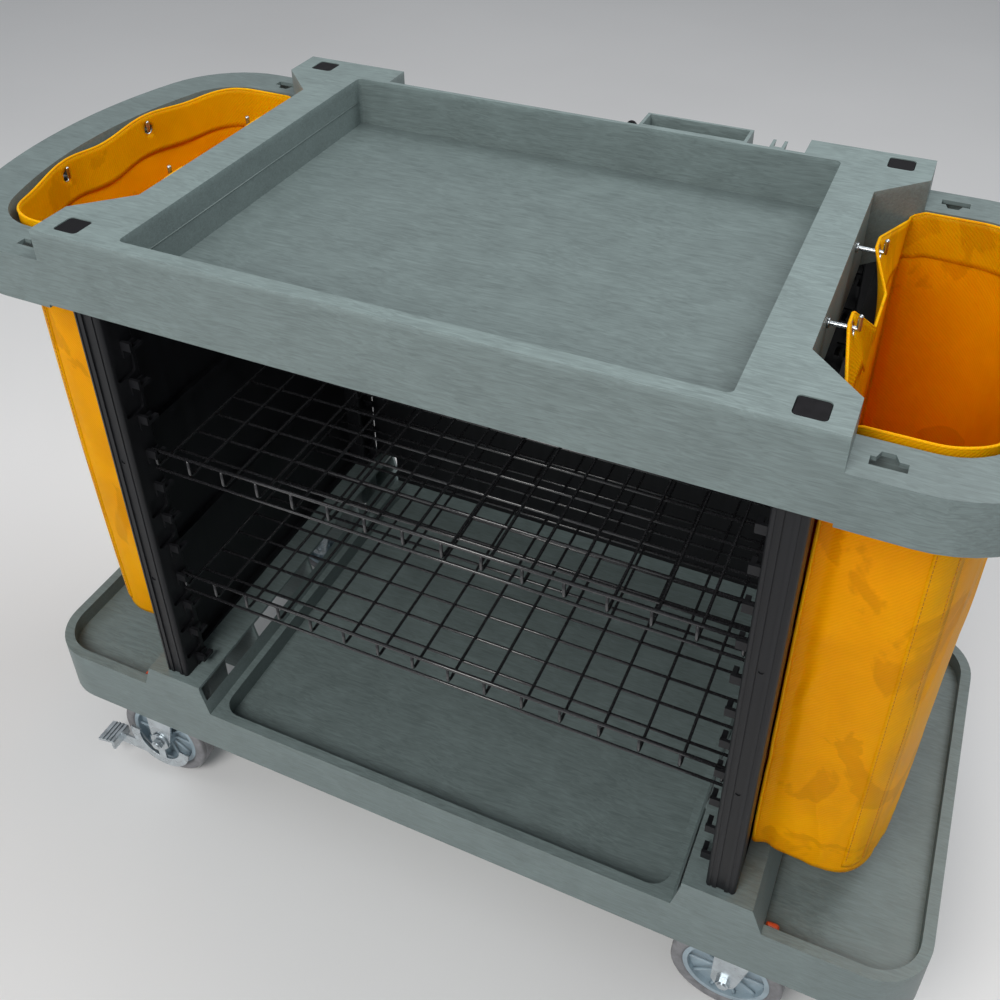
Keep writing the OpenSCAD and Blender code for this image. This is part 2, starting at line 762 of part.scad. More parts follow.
// Moves its children to a hook's place on the hoop's inner wall, X pointing inwards
module hoop_hook_site(sy) {
    lean = asin(hook_pair_y / (hoop_bow_r - arm_w));
    translate([hoop_edge_x(arm_w, hook_pair_y), sy * hook_pair_y, hoop_top - 20])
        rotate([0, 0, 180 + sy * lean]) children();
}

// Bent wire hook: a rivet head behind the wall, out by reach, then up by rise
module hook_wire(reach, rise) {
    rotate([0, 90, 0]) translate([0, 0, -shell_wall - rivet_h])
        cylinder(d = bag_hook_d, h = shell_wall + rivet_h + reach, $fn = 24);
    for (z = [0, rise]) translate([reach, 0, z]) sphere(d = bag_hook_d, $fn = 24);
    translate([reach, 0, 0]) cylinder(d = bag_hook_d, h = rise, $fn = 24);
    rotate([0, 90, 0]) {
        translate([0, 0, -shell_wall - rivet_h]) cylinder(d = rivet_d, h = rivet_h, $fn = 32);
        translate([0, 0, hook_seat]) cylinder(d = rivet_d, h = washer_h, $fn = 32);
    }
}

module bag_hooks(s) {
    color(STEEL) mirror([s == "left" ? 1 : 0, 0, 0]) for (sy = [-1, 1]) {
        translate([strip_x, sy * hook_pair_y, hook_z]) hook_wire(hook_reach, hook_rise);
        hoop_hook_site(sy) hook_wire(hoop_hook_reach, hook_rise - 2);
    }
}

// ---------------------------------------------------------------- bags
// Plan of a bag, moved in by i, following the hoop's inside and the panel
function bag_pts(i) = concat(
    arc(bag_in_x + bag_r, -bag_half_y + bag_r, bag_r - i, 180, 270, 5),
    [for (p = hoop_pts(bag_edge + i, 0)) if (p[0] > 0) p],
    arc(bag_in_x + bag_r, bag_half_y - bag_r, bag_r - i, 90, 180, 5));

// Tab that reaches from the mouth over a hook of the deck
module bag_tab(sy) {
    y = sy * hook_pair_y;
    tab_top = hook_z + hook_rise - 4;
    box(bag_in_x, bag_in_x + bag_wall, y - tab_w / 2, y + tab_w / 2, bag_top - 20, tab_top);
    box(strip_x + hook_reach - tab_hole, bag_in_x + bag_wall, y - tab_w / 2, y + tab_w / 2,
        tab_top - tab_t, tab_top);
}

module bag(s) {
    color(ORANGE) mirror([s == "left" ? 1 : 0, 0, 0]) difference() {
        union() {
            difference() {
                translate([0, 0, bag_bottom]) linear_extrude(bag_top - bag_bottom) polygon(bag_pts(0));
                translate([0, 0, bag_bottom + bag_wall]) linear_extrude(bag_top - bag_bottom)
                    polygon(bag_pts(bag_wall));
            }
            for (sy = [-1, 1]) bag_tab(sy);
        }
        // eyelets round the hooks
        for (sy = [-1, 1]) {
            translate([strip_x + hook_reach, sy * hook_pair_y, hook_z - 4]) cylinder(d = tab_hole, h = 40);
            hoop_hook_site(sy) translate([0, 0, hook_rise / 2]) rotate([0, 90, 0])
                cylinder(d = tab_hole + hook_rise, h = 2 * hoop_hook_reach);
        }
    }
}

// ---------------------------------------------------------------- casters
function is_braked(c) = c == "front_left" || c == "back_left";
function corner_sx(c) = (c == "front_left" || c == "back_left") ? -1 : 1;
function corner_sy(c) = (c == "front_left" || c == "front_right") ? -1 : 1;
pedal_t = 3;
pedal_room = pedal_t + 2 * loose_gap;
pedal_r = 54;
tread_in = 116;
tread_len = 30;
tread_z = 50;
tread_w = 36;
tread_in_y = 14;
tread_t = 4;
tread_lean = -12;
grip = 2.5;
crescent_w = 17;
pedal_boss_r = 16;
arm_half = 7;

// Moves its children to a corner's swivel axis; every wheel trails to -X
module at_corner(c) {
    translate([corner_sx(c) * caster_x, corner_sy(c) * caster_y, 0]) children();
}

module caster_bolt_sites() {
    for (dx = [-1, 1], dy = [-1, 1])
        translate([caster_x + dx * hole_x / 2, caster_y + dy * hole_y / 2, boss_h_z + 20]) children();
}

module caster_bolts() {
    color(STEEL) four_ways() caster_bolt_sites() {
        translate([0, 0, -20 - sheet_t - 6]) cylinder(d = 13, h = 6, $fn = 6);
        translate([0, 0, -20 - sheet_t - 1])
            cylinder(d = bolt_d, h = bolt_top - boss_h_z + sheet_t + 1, $fn = 32);
    }
}

pin_r = 7;
pin_nut_r = 11;
axle_nut_d = 19;
axle_nut_h = 7;

module caster_plate(c) {
    color(STEEL) at_corner(c) difference() {
        union() {
            translate([0, 0, plate_z]) linear_extrude(sheet_t)
                polygon(round_rect(plate_len, plate_wid, 8, 6));
            translate([0, 0, plate_z - cup_h]) cylinder(r = cup_r, h = cup_h + 1, $fn = FINE);
            translate([0, 0, fork_top - sheet_t - 7])
                cylinder(r = pin_r, h = plate_z - fork_top + sheet_t + 8, $fn = FINE);
            translate([0, 0, fork_top - sheet_t - 8]) cylinder(r = pin_nut_r, h = 5, $fn = 6);
        }
        for (dx = [-1, 1], dy = [-1, 1]) translate([dx * hole_x / 2, dy * hole_y / 2, plate_z - 1])
            cylinder(d = hole_d, h = sheet_t + 2, $fn = FINE);
    }
}

axle_z = wheel_r;
leg_top = fork_top - sheet_t;

// Fork: crown, bearing cup and two tapered legs down to the axle
module caster_fork(c) {
    color(STEEL) at_corner(c) difference() {
        union() {
            translate([0, 0, fork_top - sheet_t]) linear_extrude(sheet_t) hull() {
                circle(d = crown_d, $fn = 32);
                translate([-trail, 0]) square([40, fork_w + 2], center = true);
            }
            translate([0, 0, fork_top - 1])
                cylinder(r = cup_r, h = fork_drop - cup_h - cup_gap + 1, $fn = FINE);
            for (y = [-fork_w / 2 + sheet_t, fork_w / 2]) translate([0, y, 0]) rotate([90, 0, 0])
                linear_extrude(sheet_t) hull() {
                    translate([-trail, axle_z]) circle(d = 34, $fn = 32);
                    translate([-24, leg_top - sheet_t / 2]) square([54, 2 * sheet_t], center = true);
                }
        }
        translate([0, 0, leg_top - 1]) cylinder(r = pin_r + run_gap, h = 30, $fn = FINE);
        translate([-trail, -fork_w, axle_z]) rotate([-90, 0, 0])
            cylinder(d = axle_d + 2 * run_gap, h = 2 * fork_w, $fn = FINE);
    }
}

// The axle reaches further out where it carries a brake pedal
module caster_axle(c) {
    sy = corner_sy(c);
    outer = fork_w / 2 + (is_braked(c) ? pedal_room : 0);
    inner = fork_w / 2;
    color(STEEL) at_corner(c) translate([-trail, 0, axle_z]) scale_sign(1, sy) rotate([-90, 0, 0]) {
        translate([0, 0, -inner - 9]) cylinder(d = axle_d, h = inner + outer + 18, $fn = FINE);
        for (z = [-inner - axle_nut_h, outer])
            translate([0, 0, z]) cylinder(d = axle_nut_d, h = axle_nut_h, $fn = 6);
    }
}

module wheel_hub(c) {
    color(HUB_BLUE) at_corner(c) translate([-trail, 0, axle_z]) rotate([-90, 0, 0]) difference() {
        union() {
            translate([0, 0, -hub_w / 2]) cylinder(r = 17, h = hub_w, $fn = FINE);
            translate([0, 0, -5]) cylinder(r = hub_r - 2, h = 10, $fn = FINE);
            difference() {
                translate([0, 0, -tyre_w / 2 + 2]) cylinder(r = hub_r, h = tyre_w - 4, $fn = FINE);
                translate([0, 0, -tyre_w]) cylinder(r = hub_r - 7, h = 2 * tyre_w, $fn = FINE);
            }
        }
        translate([0, 0, -tyre_w]) cylinder(d = axle_d + 2 * run_gap, h = 2 * tyre_w, $fn = FINE);
    }
}

module wheel_tyre(c) {
    edge = 5;
    color(TYRE_GREY) at_corner(c) translate([-trail, 0, axle_z]) rotate([-90, 0, 0])
        rotate_extrude($fn = FINE) polygon(concat(
            [[hub_r, -tyre_w / 2 + 2], [wheel_r - edge, -tyre_w / 2]],
            arc(wheel_r - edge, -tyre_w / 2 + edge, edge, -90, 0, 5),
            arc(wheel_r - edge, tyre_w / 2 - edge, edge, 0, 90, 5),
            [[hub_r, tyre_w / 2 - 2]]));
}

// Brake pedal: a plate on the axle's outer end with a crescent under the hub and a
// tread that reaches out to -X
module brake_pedal(c) {
    y_in = fork_w / 2 + loose_gap;
    color(STEEL) at_corner(c) scale_sign(1, corner_sy(c)) {
        translate([-trail, y_in + pedal_t, axle_z]) rotate([90, 0, 0]) linear_extrude(pedal_t)
            difference() {
                union() {
                    circle(r = pedal_boss_r, $fn = FINE);
                    // crescent about the axle
                    difference() {
                        circle(r = pedal_r, $fn = FINE);
                        circle(r = pedal_r - crescent_w, $fn = FINE);
                        translate([-pedal_r - 1, 12]) square([2 * pedal_r + 2, pedal_r]);
                        rotate(-8) square([pedal_r + 1, pedal_r]);
                    }
                    translate([-arm_half, -pedal_r + 5]) square([2 * arm_half, pedal_r]);
                    translate([-tread_in + trail, -pedal_r + 12])
                        square([tread_in - trail - pedal_r * 0.6, 22]);
                }
                circle(r = axle_d / 2 + run_gap, $fn = FINE);
            }
        // tread, sloping down outwards
        translate([-tread_in, y_in - tread_in_y, tread_z]) rotate([0, tread_lean, 0]) {
            translate([-tread_len, 0, 0]) cube([tread_len + 2, tread_w, tread_t]);
            for (k = [1:3])
                translate([-k * tread_len / 4, 0, tread_t - 1]) cube([grip, tread_w, grip]);
        }
        box(-tread_in - 3, -tread_in + 2, y_in - tread_in_y, y_in + tread_w - tread_in_y,
            tread_z - 14, tread_z + 3);
    }
}

deck_top();
ear_plugs();
tool_pocket();
tool_bracket();
tool_knob();
pocket_screws();
base_platform();
back_panel();
tie_rods();
tie_nuts();
frame_bolts();
caster_bolts();
platform_clips();
for (s = SHELVES) shelf_mesh(shelf_level(s));
for (s = SHELVES)
    shelf_rail(shelf_level(s), -1);
for (s = SHELVES)
    shelf_rail(shelf_level(s), 1);
for (s = SIDES, t = TIERS)
    side_panel(s, t);
for (s = SIDES) bag_frame(s);
for (s = SIDES) bag_hooks(s);
for (s = SIDES) bag(s);
for (c = CORNERS) caster_plate(c);
for (c = CORNERS) caster_fork(c);
for (c = CORNERS) caster_axle(c);
for (c = CORNERS) wheel_hub(c);
for (c = CORNERS) wheel_tyre(c);
for (c = BRAKED) brake_pedal(c);
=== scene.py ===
import logging
import math
from dataclasses import dataclass, field
from enum import Enum

import bmesh
import bpy
import numpy as np
from mathutils import Matrix, Vector


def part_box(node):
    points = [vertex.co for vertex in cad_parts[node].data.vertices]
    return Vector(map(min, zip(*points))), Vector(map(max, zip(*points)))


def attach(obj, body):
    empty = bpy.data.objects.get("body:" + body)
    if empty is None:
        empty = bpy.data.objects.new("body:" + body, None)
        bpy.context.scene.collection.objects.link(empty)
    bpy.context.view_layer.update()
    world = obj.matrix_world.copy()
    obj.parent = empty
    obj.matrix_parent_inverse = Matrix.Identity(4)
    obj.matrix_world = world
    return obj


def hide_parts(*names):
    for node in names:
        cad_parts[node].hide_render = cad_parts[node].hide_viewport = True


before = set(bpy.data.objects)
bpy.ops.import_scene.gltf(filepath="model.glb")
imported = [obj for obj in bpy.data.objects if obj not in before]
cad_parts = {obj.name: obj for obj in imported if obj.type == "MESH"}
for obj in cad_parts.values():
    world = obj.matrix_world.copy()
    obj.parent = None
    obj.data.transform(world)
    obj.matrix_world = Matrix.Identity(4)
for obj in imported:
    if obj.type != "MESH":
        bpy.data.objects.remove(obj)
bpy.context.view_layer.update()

LOG = logging.getLogger("cart")
SIDES = ("left", "right")
TIERS = ("lower", "middle", "upper")
CORNERS = ("front_left", "back_left", "front_right", "back_right")
BRAKED = ("front_left", "back_left")
ROOT = "cart"
MM = 0.001


class Slot(Enum):
    """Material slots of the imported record."""

    GREY = "grey_moulding"
    BLACK = "black_moulding"
    TRIM = "black_trim"
    WIRE = "black_wire"
    ZINC = "zinc_steel"
    CLIP = "red_clip"
    FABRIC = "bag_fabric"
    TYRE = "grey_tyre"
    HUB = "hub_plastic"


# ------------------------------------------------------------------ finishes
class Recipe:
    """Small helper that adds and links nodes of one material."""

    def __init__(self, name: str) -> None:
        """Starts an empty material.

        Args:
            name: the material's name.
        """
        self.material = bpy.data.materials.new(name)
        self.material.use_nodes = True
        self.tree = self.material.node_tree
        self.shader = self.tree.nodes["Principled BSDF"]
        self.place = self.tree.nodes.new("ShaderNodeTexCoord").outputs["Object"]

    def node(self, kind: str, inputs: dict | None = None, **settings) -> bpy.types.Node:
        """Adds a node.

        Args:
            kind: Blender's node type.
            inputs: socket name or number to a value or to the socket that feeds it.
            **settings: properties of the node.

        Returns:
            The new node.
        """
        made = self.tree.nodes.new(kind)
        for key, value in settings.items():
            setattr(made, key, value)
        for key, value in (inputs or {}).items():
            self.feed(made.inputs[key], value)
        return made

    def feed(self, socket: bpy.types.NodeSocket, value) -> None:
        """Links a socket to another, or sets its constant."""
        if isinstance(value, bpy.types.NodeSocket):
            self.tree.links.new(value, socket)
        else:
            socket.default_value = value

    def scaled(self, stretch: tuple[float, float, float], turn: tuple = (0, 0, 0)) -> bpy.types.NodeSocket:
        """Object coordinates times stretch, after a turn in radians."""
        made = self.node("ShaderNodeMapping", {"Vector": self.place, "Scale": stretch, "Rotation": turn})
        return made.outputs[0]

    def noise(self, vector: bpy.types.NodeSocket, scale: float, detail: float = 3,
              twist: float = 0) -> bpy.types.NodeSocket:
        """Noise value from 0 to 1."""
        inputs = {"Vector": vector, "Scale": scale, "Detail": detail, "Distortion": twist}
        return self.node("ShaderNodeTexNoise", inputs).outputs[0]

    def spread(self, value: bpy.types.NodeSocket, low: float, high: float, start: float = 0.3,
               end: float = 0.7) -> bpy.types.NodeSocket:
        """Maps a value from start..end to low..high."""
        made = self.node("ShaderNodeMapRange", {0: value, 1: start, 2: end, 3: low, 4: high})
        return made.outputs[0]

    def tint(self, value: bpy.types.NodeSocket, dark: tuple, light: tuple, start: float = 0.35,
             end: float = 0.65) -> bpy.types.NodeSocket:
        """Colour that runs from dark to light with a value."""
        made = self.node("ShaderNodeValToRGB", {0: value})
        low, high = made.color_ramp.elements
        low.position, low.color = start, (*dark, 1)
        high.position, high.color = end, (*light, 1)
        return made.outputs[0]

    def bump(self, height: bpy.types.NodeSocket, depth: float, strength: float = 1.0,
             under: bpy.types.NodeSocket | None = None) -> bpy.types.NodeSocket:
        """Normal bent by a height, in metres at value 1."""
        made = self.node("ShaderNodeBump", {"Height": height, "Distance": depth, "Strength": strength})
        if under is not None:
            self.feed(made.inputs["Normal"], under)
        return made.outputs[0]

    def finish(self, **sockets) -> bpy.types.Material:
        """Sets the shader's sockets by name, with _ for a space, and returns the material."""
        for key, value in sockets.items():
            self.feed(self.shader.inputs[key.replace("_", " ")], value)
        return self.material


def times(colour: tuple, share: float) -> tuple:
    """The colour with each channel times share."""
    return tuple(channel * share for channel in colour)


@dataclass(frozen=True)
class FoamMoulding:
    """Grey-green structural foam with swirled flow streaks and a fine skin."""

    colour: tuple = (0.150, 0.192, 0.190)
    streak_depth: float = 0.00022
    # Height from which the foam is painted lighter: a painted highlight on the top rim.
    painted_highlight_from: float = 1.001

    def make(self) -> bpy.types.Material:
        """Flow streaks are noise drawn out along the moulding and bent by a broad swirl.

        The deck's topmost faces are painted a little lighter: a painted highlight on the top rim, not wear.
        """
        r = Recipe("structural_foam")
        swirl = r.noise(r.place, 7.0, 2)
        turned = r.node("ShaderNodeMath", {0: swirl, 1: 5.0}, operation="MULTIPLY").outputs[0]
        bent = r.node("ShaderNodeVectorMath", {0: r.scaled((42, 330, 400)), 1: turned}, operation="ADD")
        streak = r.noise(bent.outputs[0], 1.0, 4, 1.1)
        cloud = r.noise(r.place, 18.0, 4, 0.6)
        mix = {0: r.spread(streak, 0, 0.7), 1: r.spread(cloud, 0, 0.3)}
        both = r.node("ShaderNodeMath", mix, operation="ADD")
        grain = r.noise(r.place, 900.0, 2)
        skin = r.bump(streak, self.streak_depth, 0.55)
        height = r.node("ShaderNodeSeparateXYZ", {0: r.place}).outputs[2]
        # Painted highlight: faces above this height are painted up to 1.28 times lighter, standing in for
        # light on the top rim.
        painted_highlight = r.spread(height, 1.0, 1.28, self.painted_highlight_from, self.painted_highlight_from + 0.008)
        plain = r.tint(both.outputs[0], times(self.colour, 0.80), times(self.colour, 1.22), 0.1, 0.9)
        return r.finish(
            Base_Color=r.node("ShaderNodeVectorMath", {0: plain, 3: painted_highlight}, operation="SCALE").outputs[0],
            Roughness=r.spread(streak, 0.40, 0.52),
            Normal=r.bump(grain, 0.00006, 0.5, skin),
        )


@dataclass(frozen=True)
class BlackMoulding:
    """Black polypropylene with a fine spark texture."""

    name: str = "black_polypropylene"
    colour: tuple = (0.0095, 0.0098, 0.0115)
    rough: float = 0.44
    gloss: float = 0.26

    def make(self) -> bpy.types.Material:
        """Grain is fine noise; faint vertical draw marks come from noise drawn out along Z."""
        r = Recipe(self.name)
        grain = r.noise(r.place, 1300.0, 2)
        draw = r.noise(r.scaled((90, 90, 5)), 1.0, 3)
        return r.finish(
            Base_Color=r.tint(draw, times(self.colour, 0.8), times(self.colour, 1.25)),
            Roughness=r.spread(draw, self.rough - 0.07, self.rough + 0.07),
            Specular_IOR_Level=self.gloss,
            Normal=r.bump(grain, 0.00009, 0.6),
        )


@dataclass(frozen=True)
class WirePaint:
    """Black powder coat on steel wire."""

    colour: tuple = (0.018, 0.018, 0.020)

    def make(self) -> bpy.types.Material:
        """Orange peel from small soft noise."""
        r = Recipe("black_powder_coat")
        peel = r.noise(r.place, 520.0, 2)
        return r.finish(
            Base_Color=r.tint(peel, times(self.colour, 0.8), times(self.colour, 1.3)),
            Roughness=r.spread(peel, 0.20, 0.30),
            Normal=r.bump(peel, 0.00012, 0.5),
            Coat_Weight=0.6,
            Coat_Roughness=0.14,
        )


@dataclass(frozen=True)
class CoatedCloth:
    """Orange coated polyester with fine slanting ribs."""

    name: str = "coated_polyester"
    colour: tuple = (0.86, 0.335, 0.0)
    rib_pitch: float = 0.0034

    def make(self) -> bpy.types.Material:
        """Ribs are slanting bands over soft crumples, with sharp-edged patches of painted shade; some light
        goes through.
        """
        r = Recipe(self.name)
        around = r.node("ShaderNodeUVMap", uv_map="cloth").outputs[0]
        scale = math.tau / (10 * math.sqrt(2) * self.rib_pitch)
        rib = r.node("ShaderNodeTexWave", {"Vector": around, "Scale": scale, "Distortion": 0.6},
                     bands_direction="DIAGONAL").outputs[1]
        dye = r.noise(r.place, 11.0, 4, 0.4)
        crumple = r.noise(r.place, 26.0, 3, 1.2)
        soft = r.bump(crumple, 0.0022, 0.4)
        mix = {0: r.spread(dye, 0, 0.75), 1: r.spread(rib, 0, 0.25, 0, 1)}
        both = r.node("ShaderNodeMath", mix, operation="ADD")
        # Painted shade: sharp-edged noise patches darken the cloth's colour to 0.84, standing in for shade in
        # creases.
        scuff_and_painted_shade = r.spread(r.noise(r.place, 7.0, 5, 1.4), 1.0, 0.84, 0.585, 0.61)
        plain = r.tint(both.outputs[0], times(self.colour, 0.86), times(self.colour, 1.05), 0.1, 0.9)
        return r.finish(
            Base_Color=r.node("ShaderNodeVectorMath", {0: plain, 3: scuff_and_painted_shade}, operation="SCALE").outputs[0],
            Roughness=r.spread(dye, 0.42, 0.54),
            Normal=r.bump(rib, 0.00035, 0.6, soft),
            Specular_IOR_Level=0.05,
            Subsurface_Weight=0.55,
            Subsurface_Radius=(1.0, 0.35, 0.05),
            Subsurface_Scale=0.005,
        )


@dataclass(frozen=True)
class Zinc:
    """Bright zinc plating with a cool cloudy sheen."""

    name: str = "zinc_plate"
    colour: tuple = (0.60, 0.65, 0.68)
    rough: float = 0.27

    def make(self) -> bpy.types.Material:
        """Clouds shift colour and gloss; pressing marks run along Z."""
        r = Recipe(self.name)
        cloud = r.noise(r.place, 60.0, 4, 0.5)
        marks = r.noise(r.scaled((700, 700, 60)), 1.0, 2)
        return r.finish(
            Base_Color=r.tint(cloud, times(self.colour, 0.82), times(self.colour, 1.08)),
            Metallic=1.0,
            Roughness=r.spread(cloud, self.rough - 0.06, self.rough + 0.12),
            Normal=r.bump(marks, 0.00003, 0.4),
        )


@dataclass(frozen=True)
class Rubber:
    """Grey non-marking rubber, dusty on the tread."""

    colour: tuple = (0.205, 0.205, 0.215)

    def make(self) -> bpy.types.Material:
        """Scuffs are broad noise, the surface fine noise."""
        r = Recipe("grey_rubber")
        scuff_and_painted_shade = r.noise(r.place, 70.0, 5, 0.7)
        fine = r.noise(r.place, 1600.0, 2)
        return r.finish(
            Base_Color=r.tint(scuff_and_painted_shade, times(self.colour, 0.82), times(self.colour, 1.2)),
            Roughness=r.spread(scuff_and_painted_shade, 0.55, 0.78),
            Normal=r.bump(fine, 0.00008, 0.6),
        )


@dataclass(frozen=True)
class SmoothPlastic:
    """Smooth moulded plastic, such as the wheel hubs and the clips."""

    name: str
    colour: tuple
    rough: float = 0.33

    def make(self) -> bpy.types.Material:
        """Slight flow clouds and sink marks."""
        r = Recipe(self.name)
        flow = r.noise(r.place, 45.0, 3, 0.4)
        return r.finish(
            Base_Color=r.tint(flow, times(self.colour, 0.9), times(self.colour, 1.1)),
            Roughness=r.spread(flow, self.rough - 0.05, self.rough + 0.08),
            Normal=r.bump(flow, 0.0003, 0.25),
        )


@dataclass
class Finishes:
    """Every material, made once."""

    foam: bpy.types.Material = field(default_factory=lambda: FoamMoulding().make())
    black: bpy.types.Material = field(default_factory=lambda: BlackMoulding().make())
    trim: bpy.types.Material = field(
        default_factory=lambda: BlackMoulding("black_trim", (0.007, 0.0065, 0.008), 0.45, 0.13).make())
    wire: bpy.types.Material = field(default_factory=lambda: WirePaint().make())
    zinc: bpy.types.Material = field(default_factory=lambda: Zinc().make())
    cloth: bpy.types.Material = field(default_factory=lambda: CoatedCloth().make())
    # Painted highlight: a lighter copy of the bag cloth for the mouth's bead and the corner piping, standing
    # in for light on those edges.
    hem: bpy.types.Material = field(
        default_factory=lambda: CoatedCloth("hem_fabric_painted_highlight", (0.93, 0.42, 0.002)).make())
    thread: bpy.types.Material = field(
        default_factory=lambda: SmoothPlastic("orange_thread", (0.55, 0.17, 0.004), 0.6).make())
    tyre: bpy.types.Material = field(default_factory=lambda: Rubber().make())
    hub: bpy.types.Material = field(
        default_factory=lambda: SmoothPlastic("wheel_hub_plastic", (0.30, 0.38, 0.43)).make())
    clip: bpy.types.Material = field(
        default_factory=lambda: SmoothPlastic("clip_plastic", (0.60, 0.075, 0.02), 0.25).make())


# ------------------------------------------------------------------ mesh tools
@dataclass
class Shape:
    """Points and faces gathered from several surfaces, made into one mesh at the end."""

    points: list = field(default_factory=list)
    faces: list = field(default_factory=list)
    count: int = 0

    def grid(self, places: np.ndarray, wrap_rows: bool = False, wrap_cols: bool = False) -> "Shape":
        """Adds a surface from a rows x columns x 3 array; each cell becomes one quad.

        Args:
            places: the grid's points.
            wrap_rows: joins the last row to the first.
            wrap_cols: joins the last column to the first.

        Returns:
            The shape itself.
        """
        rows, cols = places.shape[:2]
        index = np.arange(rows * cols).reshape(rows, cols) + self.count
        if wrap_rows:
            index = np.vstack([index, index[:1]])
        if wrap_cols:
            index = np.hstack([index, index[:, :1]])
        quads = np.stack([index[:-1, :-1], index[:-1, 1:], index[1:, 1:], index[1:, :-1]], -1)
        self.points.append(places.reshape(-1, 3))
        self.faces.extend(quads.reshape(-1, 4).tolist())
        self.count += rows * cols
        return self

    def tube(self, path: np.ndarray, radius: float, sides: int = 10) -> "Shape":
        """Adds a round bar along a path, closed by a flat face at both ends.

        The ring at each point is centre + radius * (cos a * side + sin a * up), where side and up are
        square to the path's direction.
        """
        step = np.gradient(path, axis=0)
        step /= np.linalg.norm(step, axis=1, keepdims=True)
        spread = np.abs(path.max(0) - path.min(0))
        guide = np.eye(3)[int(np.argmin(spread))]
        side = np.cross(step, guide)
        side /= np.linalg.norm(side, axis=1, keepdims=True)
        up = np.cross(side, step)
        angle = np.linspace(0, math.tau, sides, endpoint=False)
        ring = np.cos(angle)[None, :, None] * side[:, None] + np.sin(angle)[None, :, None] * up[:, None]
        first = self.count
        self.grid(path[:, None] + radius * ring, wrap_cols=True)
        self.faces.append(list(range(first + sides - 1, first - 1, -1)))
        self.faces.append(list(range(self.count - sides, self.count)))
        return self

    def ring(self, centre: np.ndarray, axis: np.ndarray, radius: float, thick: float, flat: float = 1.0,
             around: int = 40, sides: int = 12) -> "Shape":
        """Adds a torus about an axis; flat squeezes its section along the axis."""
        axis = axis / np.linalg.norm(axis)
        guide = np.eye(3)[int(np.argmin(np.abs(axis)))]
        side = np.cross(axis, guide)
        side /= np.linalg.norm(side)
        up = np.cross(axis, side)
        turn = np.linspace(0, math.tau, around, endpoint=False)[:, None, None]
        wind = np.linspace(0, math.tau, sides, endpoint=False)[None, :, None]
        out = np.cos(turn) * side + np.sin(turn) * up
        places = centre + (radius + thick * np.cos(wind)) * out + thick * flat * np.sin(wind) * axis
        return self.grid(places, wrap_rows=True, wrap_cols=True)

    def make(self, name: str, smooth: bool = True) -> bpy.types.Object:
        """Makes the mesh object, with its faces turned outwards."""
        mesh = bpy.data.meshes.new(name)
        mesh.from_pydata(np.concatenate(self.points).tolist(), [], self.faces)
        work = bmesh.new()
        work.from_mesh(mesh)
        bmesh.ops.recalc_face_normals(work, faces=work.faces)
        work.to_mesh(mesh)
        work.free()
        mesh.polygons.foreach_set("use_smooth", [smooth] * len(mesh.polygons))
        made = bpy.data.objects.new(name, mesh)
        bpy.context.scene.collection.objects.link(made)
        return made


def bent_path(corners: np.ndarray, radius: float, steps: int = 6) -> np.ndarray:
    """A line through corners with each inner corner rounded.

    Each bend is a quadratic curve from radius before the corner to radius after it, drawn towards the
    corner, which is close to a bend of that radius.
    """
    parts = [corners[:1]]
    t = np.linspace(0, 1, steps)[:, None]
    for before, here, after in zip(corners[:-2], corners[1:-1], corners[2:]):
        back = here + (before - here) / np.linalg.norm(before - here) * radius
        on = here + (after - here) / np.linalg.norm(after - here) * radius
        parts.append((1 - t) ** 2 * back + 2 * t * (1 - t) * here + t ** 2 * on)
    parts.append(corners[-1:])
    return np.concatenate(parts)


def flat_map(mesh: bpy.types.Mesh, u: np.ndarray, v: np.ndarray) -> None:
    """Gives a cloth mesh its flat map in metres, u and v for each vertex."""
    index = np.zeros(len(mesh.loops), np.int32)
    mesh.loops.foreach_get("vertex_index", index)
    layer = mesh.uv_layers.new(name="cloth")
    layer.data.foreach_set("uv", np.stack([u[index], v[index]], 1).astype(np.float32).ravel())


def thicken(piece: bpy.types.Object, thickness: float, offset: float) -> None:
    """Gives a sheet its thickness."""
    cloth = piece.modifiers.new("cloth_thickness", "SOLIDIFY")
    cloth.thickness, cloth.offset = thickness, offset


def place(piece: bpy.types.Object, body: str, material: bpy.types.Material,
          nodes: tuple = ()) -> bpy.types.Object:
    """Dresses a piece, lets it ride and the CAD nodes that it stands for."""
    piece.data.materials.clear()
    piece.data.materials.append(material)
    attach(piece, body)
    if nodes:
        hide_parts(*nodes)
    LOG.info("%s: %d faces", piece.name, len(piece.data.polygons))
    return piece


def moulded(node: str, body: str, material: bpy.types.Material, edge: float,
            segments: int = 2) -> bpy.types.Object:
    """A copy of a CAD node with merged flats and rounded edges, which stands for it.

    Args:
        node: the CAD node's name.
        body: the body that it rides on.
        material: its finish.
        edge: width of the rounding in metres.
        segments: faces across the rounding.

    Returns:
        The new piece.
    """
    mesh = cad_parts[node].data.copy()
    mesh.name = node + "_skin"
    work = bmesh.new()
    work.from_mesh(mesh)
    bmesh.ops.remove_doubles(work, verts=work.verts, dist=2e-6)
    bmesh.ops.dissolve_limit(work, angle_limit=math.radians(0.6), verts=work.verts, edges=work.edges,
                             use_dissolve_boundaries=False)
    work.to_mesh(mesh)
    work.free()
    mesh.polygons.foreach_set("use_smooth", [True] * len(mesh.polygons))
    for name in [a.name for a in mesh.attributes if a.name == "custom_normal"]:
        mesh.attributes.remove(mesh.attributes[name])
    made = bpy.data.objects.new(node + "_skin", mesh)
    bpy.context.scene.collection.objects.link(made)
    rounding = made.modifiers.new("rounding", "BEVEL")
    rounding.width = edge
    rounding.segments = segments
    rounding.limit_method = "ANGLE"
    rounding.angle_limit = math.radians(32)
    rounding.harden_normals = True
    rounding.use_clamp_overlap = True
    rounding.miter_outer = "MITER_ARC"
    return place(made, body, material, (node,))


